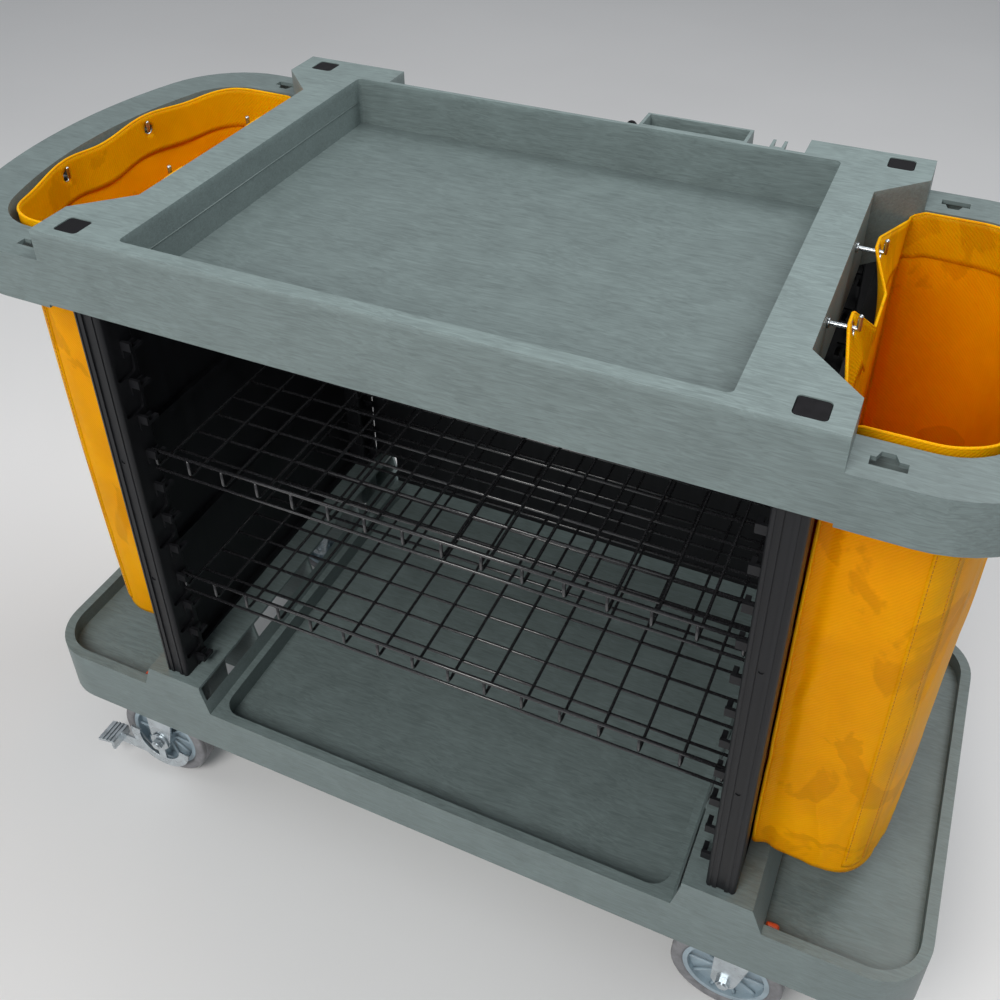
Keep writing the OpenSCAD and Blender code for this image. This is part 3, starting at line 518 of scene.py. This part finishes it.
# ------------------------------------------------------------------ mouldings
@dataclass
class Mouldings:
    """Deck, base, tool rest, hoops and panels: their CAD shapes with rounded edges."""

    finishes: Finishes
    foam_edge: float = 1.6 * MM
    panel_edge: float = 0.9 * MM
    trim_edge: float = 0.8 * MM
    ear_chamfer: float = 55 * MM
    side_rim: float = 48 * MM
    tray_depth: float = 65 * MM

    def make(self) -> None:
        """Rounds and dresses every moulding."""
        foam = self.finishes.foam
        for node in ("deck_top", "base_platform", "bag_frame_left", "bag_frame_right"):
            moulded(node, ROOT, foam, self.foam_edge, 3)
        self.wall_lines()
        for node in ("tool_pocket", "tool_bracket"):
            moulded(node, ROOT, foam, self.panel_edge)
        for node in ["back_panel"] + [f"side_panel_{s}_{t}" for s in SIDES for t in TIERS]:
            moulded(node, ROOT, self.finishes.black, self.panel_edge)
        for node in ("ear_plugs", "tool_knob"):
            moulded(node, ROOT, self.finishes.trim, self.trim_edge, 3)
        moulded("platform_clips", ROOT, self.finishes.clip, self.trim_edge, 3)


    def wall_lines(self) -> None:
        """A raised moulding line halfway up each side wall of the deck's tray."""
        low, high = (np.array(c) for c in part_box("deck_top"))
        x = high[0] - self.ear_chamfer - self.side_rim - 0.2 * MM
        z = high[2] - self.tray_depth / 2
        shape = Shape()
        for side in (-1, 1):
            ends = np.linspace(low[1] + 26 * MM, high[1] - 55 * MM, 3)
            shape.tube(np.stack([np.full(3, side * x), ends, np.full(3, z)], 1), 0.8 * MM, 8)
        place(shape.make("tray_wall_lines"), ROOT, self.finishes.foam)


@dataclass
class Hardware:
    """Bolts, screws, rods, nuts and the bags' wire hooks."""

    finishes: Finishes
    edge: float = 0.4 * MM

    def make(self) -> None:
        """Rounds the edges of each fastener and plates it."""
        for node in ("pocket_screws", "tie_rods", "tie_nuts", "frame_bolts", "caster_bolts",
                     "bag_hooks_left", "bag_hooks_right"):
            moulded(node, ROOT, self.finishes.zinc, self.edge)


# ------------------------------------------------------------------ wire shelves
@dataclass
class WireShelf:
    """One shelf: two rails, wires front to back with turned-up ends, wires along the shelf."""

    level: str
    finishes: Finishes
    pitch: float = 49.4 * MM
    long_count: int = 13
    rail_d: float = 5 * MM
    mesh_d: float = 4 * MM
    bend: float = 7 * MM

    def make(self) -> bpy.types.Object:
        """Builds all wires as one welded piece.

        Cross wires sit at equal steps of X. Each runs from the front rail down to the mesh, back, and
        up to the back rail. The wires along the shelf lie under them at equal steps of Y.
        """
        nodes = tuple(f"shelf_{part}_{self.level}" for part in ("mesh", "front_rail", "back_rail"))
        low = np.array(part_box(nodes[0])[0])
        high = np.array(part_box(nodes[2])[1])
        rail_z = high[2] - self.rail_d / 2
        long_z = low[2] + self.mesh_d / 2
        mesh_z = long_z + self.mesh_d - 0.8 * MM
        rail_y = high[1] - self.rail_d / 2
        rail_x = high[0]
        end_x = rail_x - self.rail_d / 2
        count = round(2 * end_x / self.pitch) + 1
        wires = Shape()

        def along(y: float, z: float) -> np.ndarray:
            """A straight path along the shelf."""
            return np.array([[-rail_x, y, z], [0, y, z], [rail_x, y, z]])

        for y in (-rail_y, rail_y):
            wires.tube(along(y, rail_z), self.rail_d / 2, 14)
        for x in np.linspace(-end_x, end_x, count):
            corners = np.array([[x, -rail_y, rail_z], [x, -rail_y, mesh_z],
                                [x, rail_y, mesh_z], [x, rail_y, rail_z]])
            wires.tube(bent_path(corners, self.bend), self.mesh_d / 2, 10)
        for y in np.linspace(-rail_y, rail_y, self.long_count):
            wires.tube(along(y, long_z), self.mesh_d / 2, 10)
        made = wires.make(f"shelf_wires_{self.level}")
        return place(made, f"shelf_{self.level}", self.finishes.wire, nodes)


# ------------------------------------------------------------------ bags
@dataclass
class Bag:
    """A hanging bag: shell, folded hem, seam flap, stitches and eyelets."""

    side: str
    finishes: Finishes
    around: int = 300
    down: int = 108
    floor_rings: int = 14
    hook_y: float = 80 * MM
    flap_reach: float = 21 * MM
    flap_drop: float = 62 * MM
    hook_drop: float = 10 * MM
    hoop_hook_drop: float = 20 * MM
    eyelet_r: float = 7.5 * MM
    hole_depth: float = 12 * MM
    hem_h: float = 56 * MM
    seam_x: float = 0.532
    seam_w: float = 26 * MM
    cloth_t: float = 1.1 * MM

    def __post_init__(self) -> None:
        """Takes the bag's place from its CAD solid, the hoop and the panel."""
        low, high = (np.array(c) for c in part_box("bag_right"))
        hoop = np.array(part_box("bag_frame_right")[1])
        panel = np.array(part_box("side_panel_right_middle")[1])
        self.sign = -1.0 if self.side == "left" else 1.0
        self.taper = (20 if self.side == "left" else 0) * MM
        self.inner_x = panel[0] + 1.5 * MM
        self.half_y = high[1] - 1 * MM
        self.outer_x = high[0] - 1 * MM
        self.floor_z = low[2]
        self.top_z = hoop[2] + 1 * MM
        self.tip_z = high[2]
        self.seed = 5 if self.side == "left" else 11

    def outline(self) -> np.ndarray:
        """The bag's plan as points at equal steps along it, from the cart side's middle by the front.

        It is straight beside the cart, turns with small corners, and bows out round the hoop: the far
        side is an arc about a point near the cart that runs into corner arcs.
        """
        bow_r, corner_r, near_r = 0.536, 0.066, 0.006
        bow_x = self.outer_x - bow_r
        turn = math.asin((self.half_y - corner_r) / (bow_r - corner_r))
        corner_x = bow_x + (bow_r - corner_r) * math.cos(turn)

        def arc(cx: float, cy: float, r: float, a: float, b: float, n: int = 16) -> np.ndarray:
            """Points on a circle from angle a to b."""
            t = np.linspace(a, b, n)
            return np.stack([cx + r * np.cos(t), cy + r * np.sin(t)], 1)

        half = np.concatenate([
            [[self.inner_x, 0]],
            arc(self.inner_x + near_r, -self.half_y + near_r, near_r, math.pi, 1.5 * math.pi),
            arc(corner_x, -self.half_y + corner_r, corner_r, -0.5 * math.pi, -turn),
            arc(bow_x, 0, bow_r, -turn, 0),
        ])
        whole = np.concatenate([half, (half * [1, -1])[::-1][1:]])
        run = np.concatenate([[0], np.cumsum(np.linalg.norm(np.diff(whole, axis=0), axis=1))])
        s = np.linspace(0, run[-1], self.around, endpoint=False)
        self.girth = float(run[-1])
        return np.stack([np.interp(s, run, whole[:, 0]), np.interp(s, run, whole[:, 1])], 1)

    def flaps(self, plan: np.ndarray) -> np.ndarray:
        """How far into a flap each point of the mouth is, from 0 to 1 at a hook, on the cart side.

        Each flap is flat-topped at its hook, falls away short towards the middle and long towards the
        bag's corner.
        """
        near = np.clip((self.inner_x + 14 * MM - plan[:, 0]) / (14 * MM), 0, 1)
        top, hook, end = 13 * MM, self.hook_y, self.half_y - 12 * MM
        y = [-end, -hook - top, -hook + top, -hook + 3 * top, hook - 4 * top, hook - top, hook + top, end]
        return near * np.interp(plan[:, 1], y, [0, 1, 1, 0, 0, 1, 1, 0])

    def creases(self, s: np.ndarray, v: np.ndarray) -> np.ndarray:
        """Depth of sharp creases at share s round the bag and v down it.

        Each is a short slanting line with a depth of deep * (1 - |distance| / width), faded at both
        ends. They gather near the floor, where the bag is pulled out of shape.
        """
        random = np.random.default_rng(self.seed)
        depth = np.zeros(np.broadcast(s, v).shape)
        for _ in range(46):
            where, lean = random.uniform(0, 1), random.uniform(-0.16, 0.16)
            low, reach = random.uniform(0.35, 1.0), random.uniform(0.07, 0.26)
            width, deep = random.uniform(0.006, 0.015), random.choice([-1, 1]) * random.uniform(1.4, 3.6) * MM
            off = (s - where - lean * (v - low) + 0.5) % 1 - 0.5
            along = np.clip(1 - ((v - low) / reach) ** 2, 0, 1)
            depth += deep * along * np.clip(1 - np.abs(off) / width, 0, 1) ** 1.3
        return depth

    def wall(self) -> np.ndarray:
        """The wall's grid, rows from the mouth down.

        z runs from the mouth's edge to the floor. The mouth's edge rises to each flap and droops between
        the hoop's hooks. The front and back dip beside the cart, where the cloth is tucked behind the
        panel, and swell out further along. Soft folds and sharp creases are added square to the wall.
        """
        plan = self.outline()
        centre = np.array([(self.inner_x + self.outer_x) / 2, 0])
        v = np.linspace(0, 1, self.down)[:, None] ** 1.15
        flap = self.flaps(plan)
        cart = np.clip((self.inner_x + 20 * MM - plan[:, 0]) / (20 * MM), 0, 1)
        far = np.clip((plan[:, 0] - self.outer_x + 60 * MM) / (60 * MM), 0, 1)
        edge = self.top_z - 7 * MM * cart - 9 * MM * far * np.cos(plan[:, 1] / self.half_y * 4.1) ** 2
        edge = edge + (self.tip_z - edge) * flap
        z = edge + (self.floor_z - edge) * v
        x, y = (np.repeat(plan[None, :, k], self.down, 0) for k in (0, 1))
        mouth = np.clip(1 - (edge - z) / self.flap_drop, 0, 1)
        x = x + (4 * MM * cart - self.flap_reach * flap) * mouth
        x = x + self.taper * cart * v - 12 * MM * far * v
        y = y * (1 - 0.03 * v)
        out = np.stack([x - centre[0], y], -1)
        out /= np.linalg.norm(out, axis=-1, keepdims=True)
        ends = np.abs(out[..., 1]) ** 3
        swell = 5 * MM * np.sin(math.pi * v) ** 0.8 * ends
        beside = np.exp(-((plan[:, 0] - self.inner_x - 14 * MM) / (10 * MM)) ** 2)
        tuck = 6 * MM * beside * (np.abs(plan[:, 1]) > 0.1)
        s = np.arange(self.around)[None] / self.around
        random = np.random.default_rng(self.seed)
        fold = np.zeros_like(x)
        for _ in range(16):
            where, lean = random.uniform(0, 1), random.uniform(-0.05, 0.05)
            width, deep = random.uniform(0.010, 0.024), random.uniform(-4.0, 3.5) * MM
            start, reach = random.uniform(0.1, 0.75), random.uniform(0.25, 0.6)
            off = (s - where - lean * v + 0.5) % 1 - 0.5
            fold += deep * np.exp(-(off / width) ** 2) * np.exp(-((v - start - reach / 2) / (reach / 2)) ** 2)
        calm = np.clip((edge - z) / (70 * MM), 0, 1)
        shift = swell + (fold * (0.3 + 0.7 * v) + self.creases(s, v) - tuck) * calm
        shift = np.minimum(shift, 8 * MM)
        x, y = x + out[..., 0] * np.minimum(shift, 1 * MM + 99 * ends), y + out[..., 1] * shift
        x = np.maximum(x, self.inner_x - self.flap_reach * flap * mouth)
        z = z + 2.2 * MM * np.sin(s * math.tau * 7 + self.seed) * v ** 6
        return np.stack([self.sign * x, y, z], -1)

    def hook_places(self, wall: np.ndarray) -> list[tuple[np.ndarray, np.ndarray]]:
        """Where the four hooks pass through the wall: each a centre and the wall's direction there."""
        places = []
        for y in (-self.hook_y, self.hook_y):
            for far, z in ((False, self.tip_z - self.hook_drop), (True, self.top_z - self.hoop_hook_drop)):
                middle = abs(wall[..., 0]) > (self.inner_x + self.outer_x) / 2
                miss = np.abs(wall[..., 1] - y) + np.abs(wall[..., 2] - z) + np.where(middle == far, 0, 1)
                row, col = np.unravel_index(int(np.argmin(miss)), miss.shape)
                down = wall[row + 2, col] - wall[max(row - 1, 0), col]
                along = wall[row, (col + 1) % self.around] - wall[row, col - 1]
                across = np.cross(down, along)
                places.append((wall[row, col], across / np.linalg.norm(across)))
        return places

    def shell(self, wall: np.ndarray) -> bpy.types.Object:
        """The cloth: wall and floor in one sheet, with real holes where the eyelets are."""
        last = wall[-1]
        middle = last.mean(0) + [0, 0, -1.0 * MM]
        share = np.linspace(0, 0.985, self.floor_rings)[1:, None, None]
        sag = np.array([0, 0, -3.0 * MM]) * np.sin(math.pi / 2 * share)
        base = last[None] + (middle - last)[None] * share + sag
        grid = np.concatenate([wall, base])
        shape = Shape().grid(grid, wrap_cols=True)
        first = shape.count - self.around
        shape.faces.append(list(range(first, shape.count)))
        made = shape.make(f"bag_cloth_{self.side}")
        drop = np.concatenate([[0], np.cumsum(np.linalg.norm(np.diff(grid, axis=0), axis=2).mean(1))])
        flat_map(made.data, np.tile(np.arange(self.around) / self.around * self.girth, len(grid)),
                 np.repeat(drop, self.around))
        self.pierce(made, self.hook_places(wall))
        thicken(made, self.cloth_t, 0)
        return place(made, ROOT, self.finishes.cloth, (f"bag_{self.side}",))

    def pierce(self, made: bpy.types.Object, places: list) -> None:
        """Opens a round hole at each hook: faces inside go, and the rim's points move onto a circle."""
        work = bmesh.new()
        work.from_mesh(made.data)
        for centre, axis in places:
            middle, line = Vector(centre), Vector(axis)

            def spot(point: Vector) -> tuple[Vector, float]:
                """The point's offset across the hole, and its height over the wall."""
                step = point - middle
                return step - line * step.dot(line), abs(step.dot(line))

            def inside(face: bmesh.types.BMFace) -> bool:
                """Whether the face's middle is within the hole."""
                flat, rise = spot(face.calc_center_median())
                return flat.length < self.eyelet_r and rise < self.hole_depth

            hit = [f for f in work.faces if inside(f)]
            rim = {v for f in hit for v in f.verts if any(g not in hit for g in v.link_faces)}
            bmesh.ops.delete(work, geom=hit, context="FACES")
            for vert in (v for v in rim if v.is_valid):
                flat = spot(vert.co)[0]
                vert.co += flat.normalized() * (self.eyelet_r - flat.length)
        work.to_mesh(made.data)
        work.free()

    def hem(self, wall: np.ndarray) -> list[bpy.types.Object]:
        """The folded hem: a bead round the mouth and a band inside it down to the stitches."""
        edge = wall[0]
        inward = self.inward(edge)
        ease = 0.5 + 0.5 * np.sin(np.arange(self.around) / self.around * math.tau * 9 + self.seed)
        steps = np.linspace(0, self.hem_h, 9)
        share = np.linspace(0, 1, 9)[:, None, None]
        row = np.interp(steps, wall[0, :, 2].mean() - wall[:, :, 2].mean(1), np.arange(self.down))
        low = np.floor(row).astype(int)
        part = (row - low)[:, None, None]
        under = wall[low] * (1 - part) + wall[np.minimum(low + 1, self.down - 1)] * part
        gap = 1.6 * MM + 2.2 * MM * ease[None, :, None] * share ** 2
        band = Shape().grid(under + inward[None] * gap, wrap_cols=True).make(f"bag_hem_{self.side}")
        around = np.arange(self.around) / self.around * self.girth
        flat_map(band.data, np.tile(around, 9), np.repeat(steps, self.around))
        self.pierce(band, self.hook_places(wall))
        thicken(band, 0.8 * MM, 0)
        place(band, ROOT, self.finishes.cloth)
        turn = np.linspace(0, math.tau, 10, endpoint=False)[:, None, None]
        up = np.array([0, 0, 1.0])
        bead = edge[None] + inward * 0.6 * MM + 1.7 * MM * (np.cos(turn) * inward[None] + np.sin(turn) * up)
        rim = Shape().grid(bead, wrap_rows=True, wrap_cols=True).make(f"bag_rim_{self.side}")
        flat_map(rim.data, np.tile(around, 10), np.repeat(np.arange(10) * MM, self.around))
        # The bead wears the lighter cloth copy: painted highlight.
        place(rim, ROOT, self.finishes.hem)
        return [band, rim]

    def inward(self, edge: np.ndarray) -> np.ndarray:
        """Level directions from the mouth's edge towards the bag's middle line."""
        reach = min(self.half_y, (self.outer_x - self.inner_x) / 2)
        centre_y = np.clip(edge[:, 1], reach - self.half_y, self.half_y - reach)
        aim = np.zeros_like(edge)
        aim[:, 0] = self.sign * (self.inner_x + self.outer_x) / 2 - edge[:, 0]
        aim[:, 1] = centre_y - edge[:, 1]
        return aim / np.linalg.norm(aim, axis=1, keepdims=True)

    def column(self, wall: np.ndarray, x: float) -> np.ndarray:
        """The wall's points down one line at a distance x along the cart, on the front."""
        half = wall[self.down // 2]
        cost = np.abs(np.abs(half[:, 0]) - x) + np.where(half[:, 1] < -0.1, 0, 1)
        return wall[:, int(np.argmin(cost))]

    def seam_flap(self, wall: np.ndarray) -> bpy.types.Object:
        """A placket sewn down the front wall: a raised strip that follows the cloth."""
        cols = [self.column(wall, self.seam_x + k) for k in (-self.seam_w / 2, 0, self.seam_w / 2)]
        lines = np.stack(cols, 1)
        t = np.linspace(0, 2, 9)
        low = np.minimum(np.floor(t).astype(int), 1)
        part = (t - low)[None, :, None]
        across = lines[:, low] * (1 - part) + lines[:, low + 1] * part
        rise = 2.2 * MM * (1 - np.abs(np.linspace(-1, 1, 9)) ** 6)[None, :, None]
        across = across[6:-2] + np.array([0, -1.0, 0]) * (rise + 0.7 * MM)
        made = Shape().grid(across).make(f"bag_placket_{self.side}")
        rows = len(across)
        flat_map(made.data, np.tile(np.arange(9) * 3 * MM, rows), np.repeat(np.arange(rows) * 6 * MM, 9))
        thicken(made, 0.9 * MM, 0)
        return place(made, ROOT, self.finishes.cloth)

    def piping(self, wall: np.ndarray) -> bpy.types.Object:
        """A corded seam down each corner next to the cart."""
        shape = Shape()
        half = wall[self.down // 2]
        for front in (-1, 1):
            away = np.abs(np.abs(half[:, 0]) - self.inner_x - self.taper / 2 - 4 * MM)
            cost = away + np.where(half[:, 1] * front > 0.1, 0, 1)
            line = wall[10:-2, int(np.argmin(cost))]
            shape.tube(line + np.array([-self.sign * 1.0, front * 1.2, 0]) * MM, 1.9 * MM, 8)
        made = shape.make(f"bag_piping_{self.side}")
        flat_map(made.data, np.zeros(len(made.data.vertices)), np.arange(len(made.data.vertices)) * 0.8 * MM)
        # The piping wears the lighter cloth copy: painted highlight.
        return place(made, ROOT, self.finishes.hem)

    def stitches(self, wall: np.ndarray) -> bpy.types.Object:
        """Two rows of short thread dashes down the placket."""
        shape = Shape()
        out = np.array([0, -1.0, 0])
        for offset in (3 * MM - self.seam_w / 2, self.seam_w / 2 - 3 * MM):
            line = self.column(wall, self.seam_x + offset)[7:-3]
            run = np.concatenate([[0], np.cumsum(np.linalg.norm(np.diff(line, axis=0), axis=1))])
            for s in np.arange(4 * MM, run[-1] - 6 * MM, 6 * MM):
                steps = (0, 1.9 * MM, 3.8 * MM)
                ends = np.array([[np.interp(s + d, run, line[:, k]) for k in range(3)] for d in steps])
                shape.tube(ends + out * 3.1 * MM, 0.4 * MM, 5)
        made = shape.make(f"bag_stitches_{self.side}")
        return place(made, ROOT, self.finishes.thread)

    def rings(self, wall: np.ndarray) -> bpy.types.Object:
        """A pressed metal eyelet round each hole."""
        shape = Shape()
        for centre, axis in self.hook_places(wall):
            shape.ring(centre, axis, self.eyelet_r + 0.6 * MM, 1.8 * MM, 0.9)
        made = shape.make(f"bag_eyelets_{self.side}")
        return place(made, ROOT, self.finishes.zinc)

    def make(self) -> None:
        """The cut is a strip round the bag plus its floor. Its flat area is the girth times the height,
        plus the floor.
        """
        wall = self.wall()
        cloth = self.shell(wall)
        parts = [*self.hem(wall), self.seam_flap(wall), self.piping(wall), self.stitches(wall),
                 self.rings(wall)]


# ------------------------------------------------------------------ casters
@dataclass
class Caster:
    """One swivel caster: plate, fork, axle, wheel, and a brake pedal on the braked ones."""

    corner: str
    finishes: Finishes
    edge: float = 0.7 * MM

    def tyre(self) -> bpy.types.Object:
        """The tyre as a revolved profile: crowned tread with two fine grooves and rounded shoulders."""
        node = f"wheel_tyre_{self.corner}"
        low, high = (np.array(c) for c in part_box(node))
        centre = (low + high) / 2
        outer = (high[2] - low[2]) / 2
        half = (high[1] - low[1]) / 2
        inner = outer - 17 * MM
        t = np.linspace(-1, 1, 41)
        shoulder = np.clip((np.abs(t) - 0.78) / 0.22, 0, 1) ** 2.2
        crown = outer - 1.2 * MM * np.abs(t) ** 2.2 - 5.0 * MM * shoulder
        groove = sum(np.exp(-((t - g) / 0.05) ** 2) for g in (-0.42, 0.42)) * 0.9 * MM
        radii = np.concatenate([[inner], [inner + 4 * MM], crown - groove, [inner + 4 * MM], [inner]])
        edges = np.array([2 * MM, 0.4 * MM])
        depth = np.concatenate([edges - half, t * half, half - edges[::-1]])
        turn = np.linspace(0, math.tau, 96, endpoint=False)[:, None]
        places = np.stack([centre[0] + radii * np.cos(turn), centre[1] + depth + 0 * turn,
                           centre[2] + radii * np.sin(turn)], -1)
        made = Shape().grid(places, wrap_rows=True, wrap_cols=True).make(f"tyre_{self.corner}")
        return place(made, f"wheel_{self.corner}", self.finishes.tyre, (node,))

    def hub(self) -> bpy.types.Object:
        """The hub with ribs between its boss and its rim."""
        node = f"wheel_hub_{self.corner}"
        made = moulded(node, f"wheel_{self.corner}", self.finishes.hub, self.edge)
        low, high = (np.array(c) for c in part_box(node))
        centre = (low + high) / 2
        ribs = Shape()
        for turn in np.arange(10) / 10 * math.tau:
            for face in (-1, 1):
                aim = np.array([math.cos(turn), 0, math.sin(turn)])
                at = centre + np.array([0, face * 8.5 * MM, 0])
                steps = np.linspace(15 * MM, 52 * MM, 6)[:, None]
                ribs.tube(at + aim * steps, 2.1 * MM, 8)
        web = ribs.make(f"hub_ribs_{self.corner}")
        place(web, f"wheel_{self.corner}", self.finishes.hub)
        return made

    def make(self) -> None:
        """Builds the caster's pieces on their bodies."""
        zinc = self.finishes.zinc
        moulded(f"caster_plate_{self.corner}", ROOT, zinc, self.edge)
        moulded(f"caster_fork_{self.corner}", f"swivel_{self.corner}", zinc, self.edge)
        moulded(f"caster_axle_{self.corner}", f"swivel_{self.corner}", zinc, self.edge)
        self.hub()
        self.tyre()
        if self.corner in BRAKED:
            moulded(f"brake_pedal_{self.corner}", f"pedal_{self.corner}", zinc, self.edge)


# ------------------------------------------------------------------ studio
@dataclass
class Studio:
    """Pale floor, soft lights and the camera."""

    lens: float = 40.51
    shift: tuple = (-0.012, -0.150)
    eye: tuple = (0.46733, -1.03546, 1.58629)
    right: tuple = (0.91395, 0.40583, -0.00204)
    down: tuple = (0.23025, -0.52266, -0.82086)
    ahead: tuple = (-0.33420, 0.74975, -0.57113)

    def camera(self) -> None:
        """Sets the camera; its own axes are right, up and back."""
        data = bpy.data.cameras.new("view")
        data.lens, data.sensor_width = self.lens, 36
        data.shift_x, data.shift_y = self.shift
        data.clip_start, data.clip_end = 0.05, 60
        made = bpy.data.objects.new("view", data)
        axes = Matrix((self.right, tuple(-v for v in self.down), tuple(-v for v in self.ahead))).transposed()
        made.matrix_world = Matrix.Translation(self.eye) @ axes.to_4x4()
        bpy.context.scene.collection.objects.link(made)
        bpy.context.scene.camera = made

    def softbox(self, name: str, at: tuple, size: float, watts: float, tone: tuple = (1, 1, 1)) -> None:
        """A square light that faces the cart's middle."""
        data = bpy.data.lights.new(name, "AREA")
        data.shape, data.size, data.energy, data.color = "SQUARE", size, watts, tone
        made = bpy.data.objects.new(name, data)
        made.location = at
        aim = Vector((0, 0, 0.7)) - Vector(at)
        made.rotation_euler = aim.to_track_quat("-Z", "Y").to_euler()
        bpy.context.scene.collection.objects.link(made)

    def floor(self) -> None:
        """A pale sweep under and behind the cart."""
        size = 14.0
        corners = np.array([[[-size, -size, 0], [size, -size, 0]], [[-size, size, 0], [size, size, 0]]])
        made = Shape().grid(corners).make("studio_floor", False)
        r = Recipe("pale_floor")
        cloud = r.noise(r.place, 0.8, 3)
        made.data.materials.append(r.finish(
            Base_Color=r.tint(cloud, (0.80, 0.80, 0.80), (0.84, 0.84, 0.84)), Roughness=0.6))

    def make(self) -> None:
        """Builds the studio."""
        world = bpy.data.worlds.new("studio_air")
        world.use_nodes = True
        world.node_tree.nodes["Background"].inputs[0].default_value = (0.93, 0.96, 1.0, 1)
        world.node_tree.nodes["Background"].inputs[1].default_value = 0.36
        scene = bpy.context.scene
        scene.world = world
        scene.view_settings.view_transform = "Standard"
        self.camera()
        self.softbox("key_light", (1.1, 1.0, 3.2), 1.5, 40)
        self.softbox("front_light", (-0.2, -2.5, 2.8), 1.5, 66, (1.0, 0.985, 0.96))
        self.softbox("side_light", (-3.0, -0.6, 2.0), 1.6, 12)
        self.floor()


def main() -> None:
    """Builds the cart's pieces, then the studio."""
    logging.basicConfig(level=logging.INFO, format="%(name)s %(message)s")
    finishes = Finishes()
    Mouldings(finishes).make()
    Hardware(finishes).make()
    for level in ("upper", "lower"):
        WireShelf(level, finishes).make()
    for side in SIDES:
        Bag(side, finishes).make()
    for corner in CORNERS:
        Caster(corner, finishes).make()
    Studio().make()


if __name__ == "__main__":
    main()
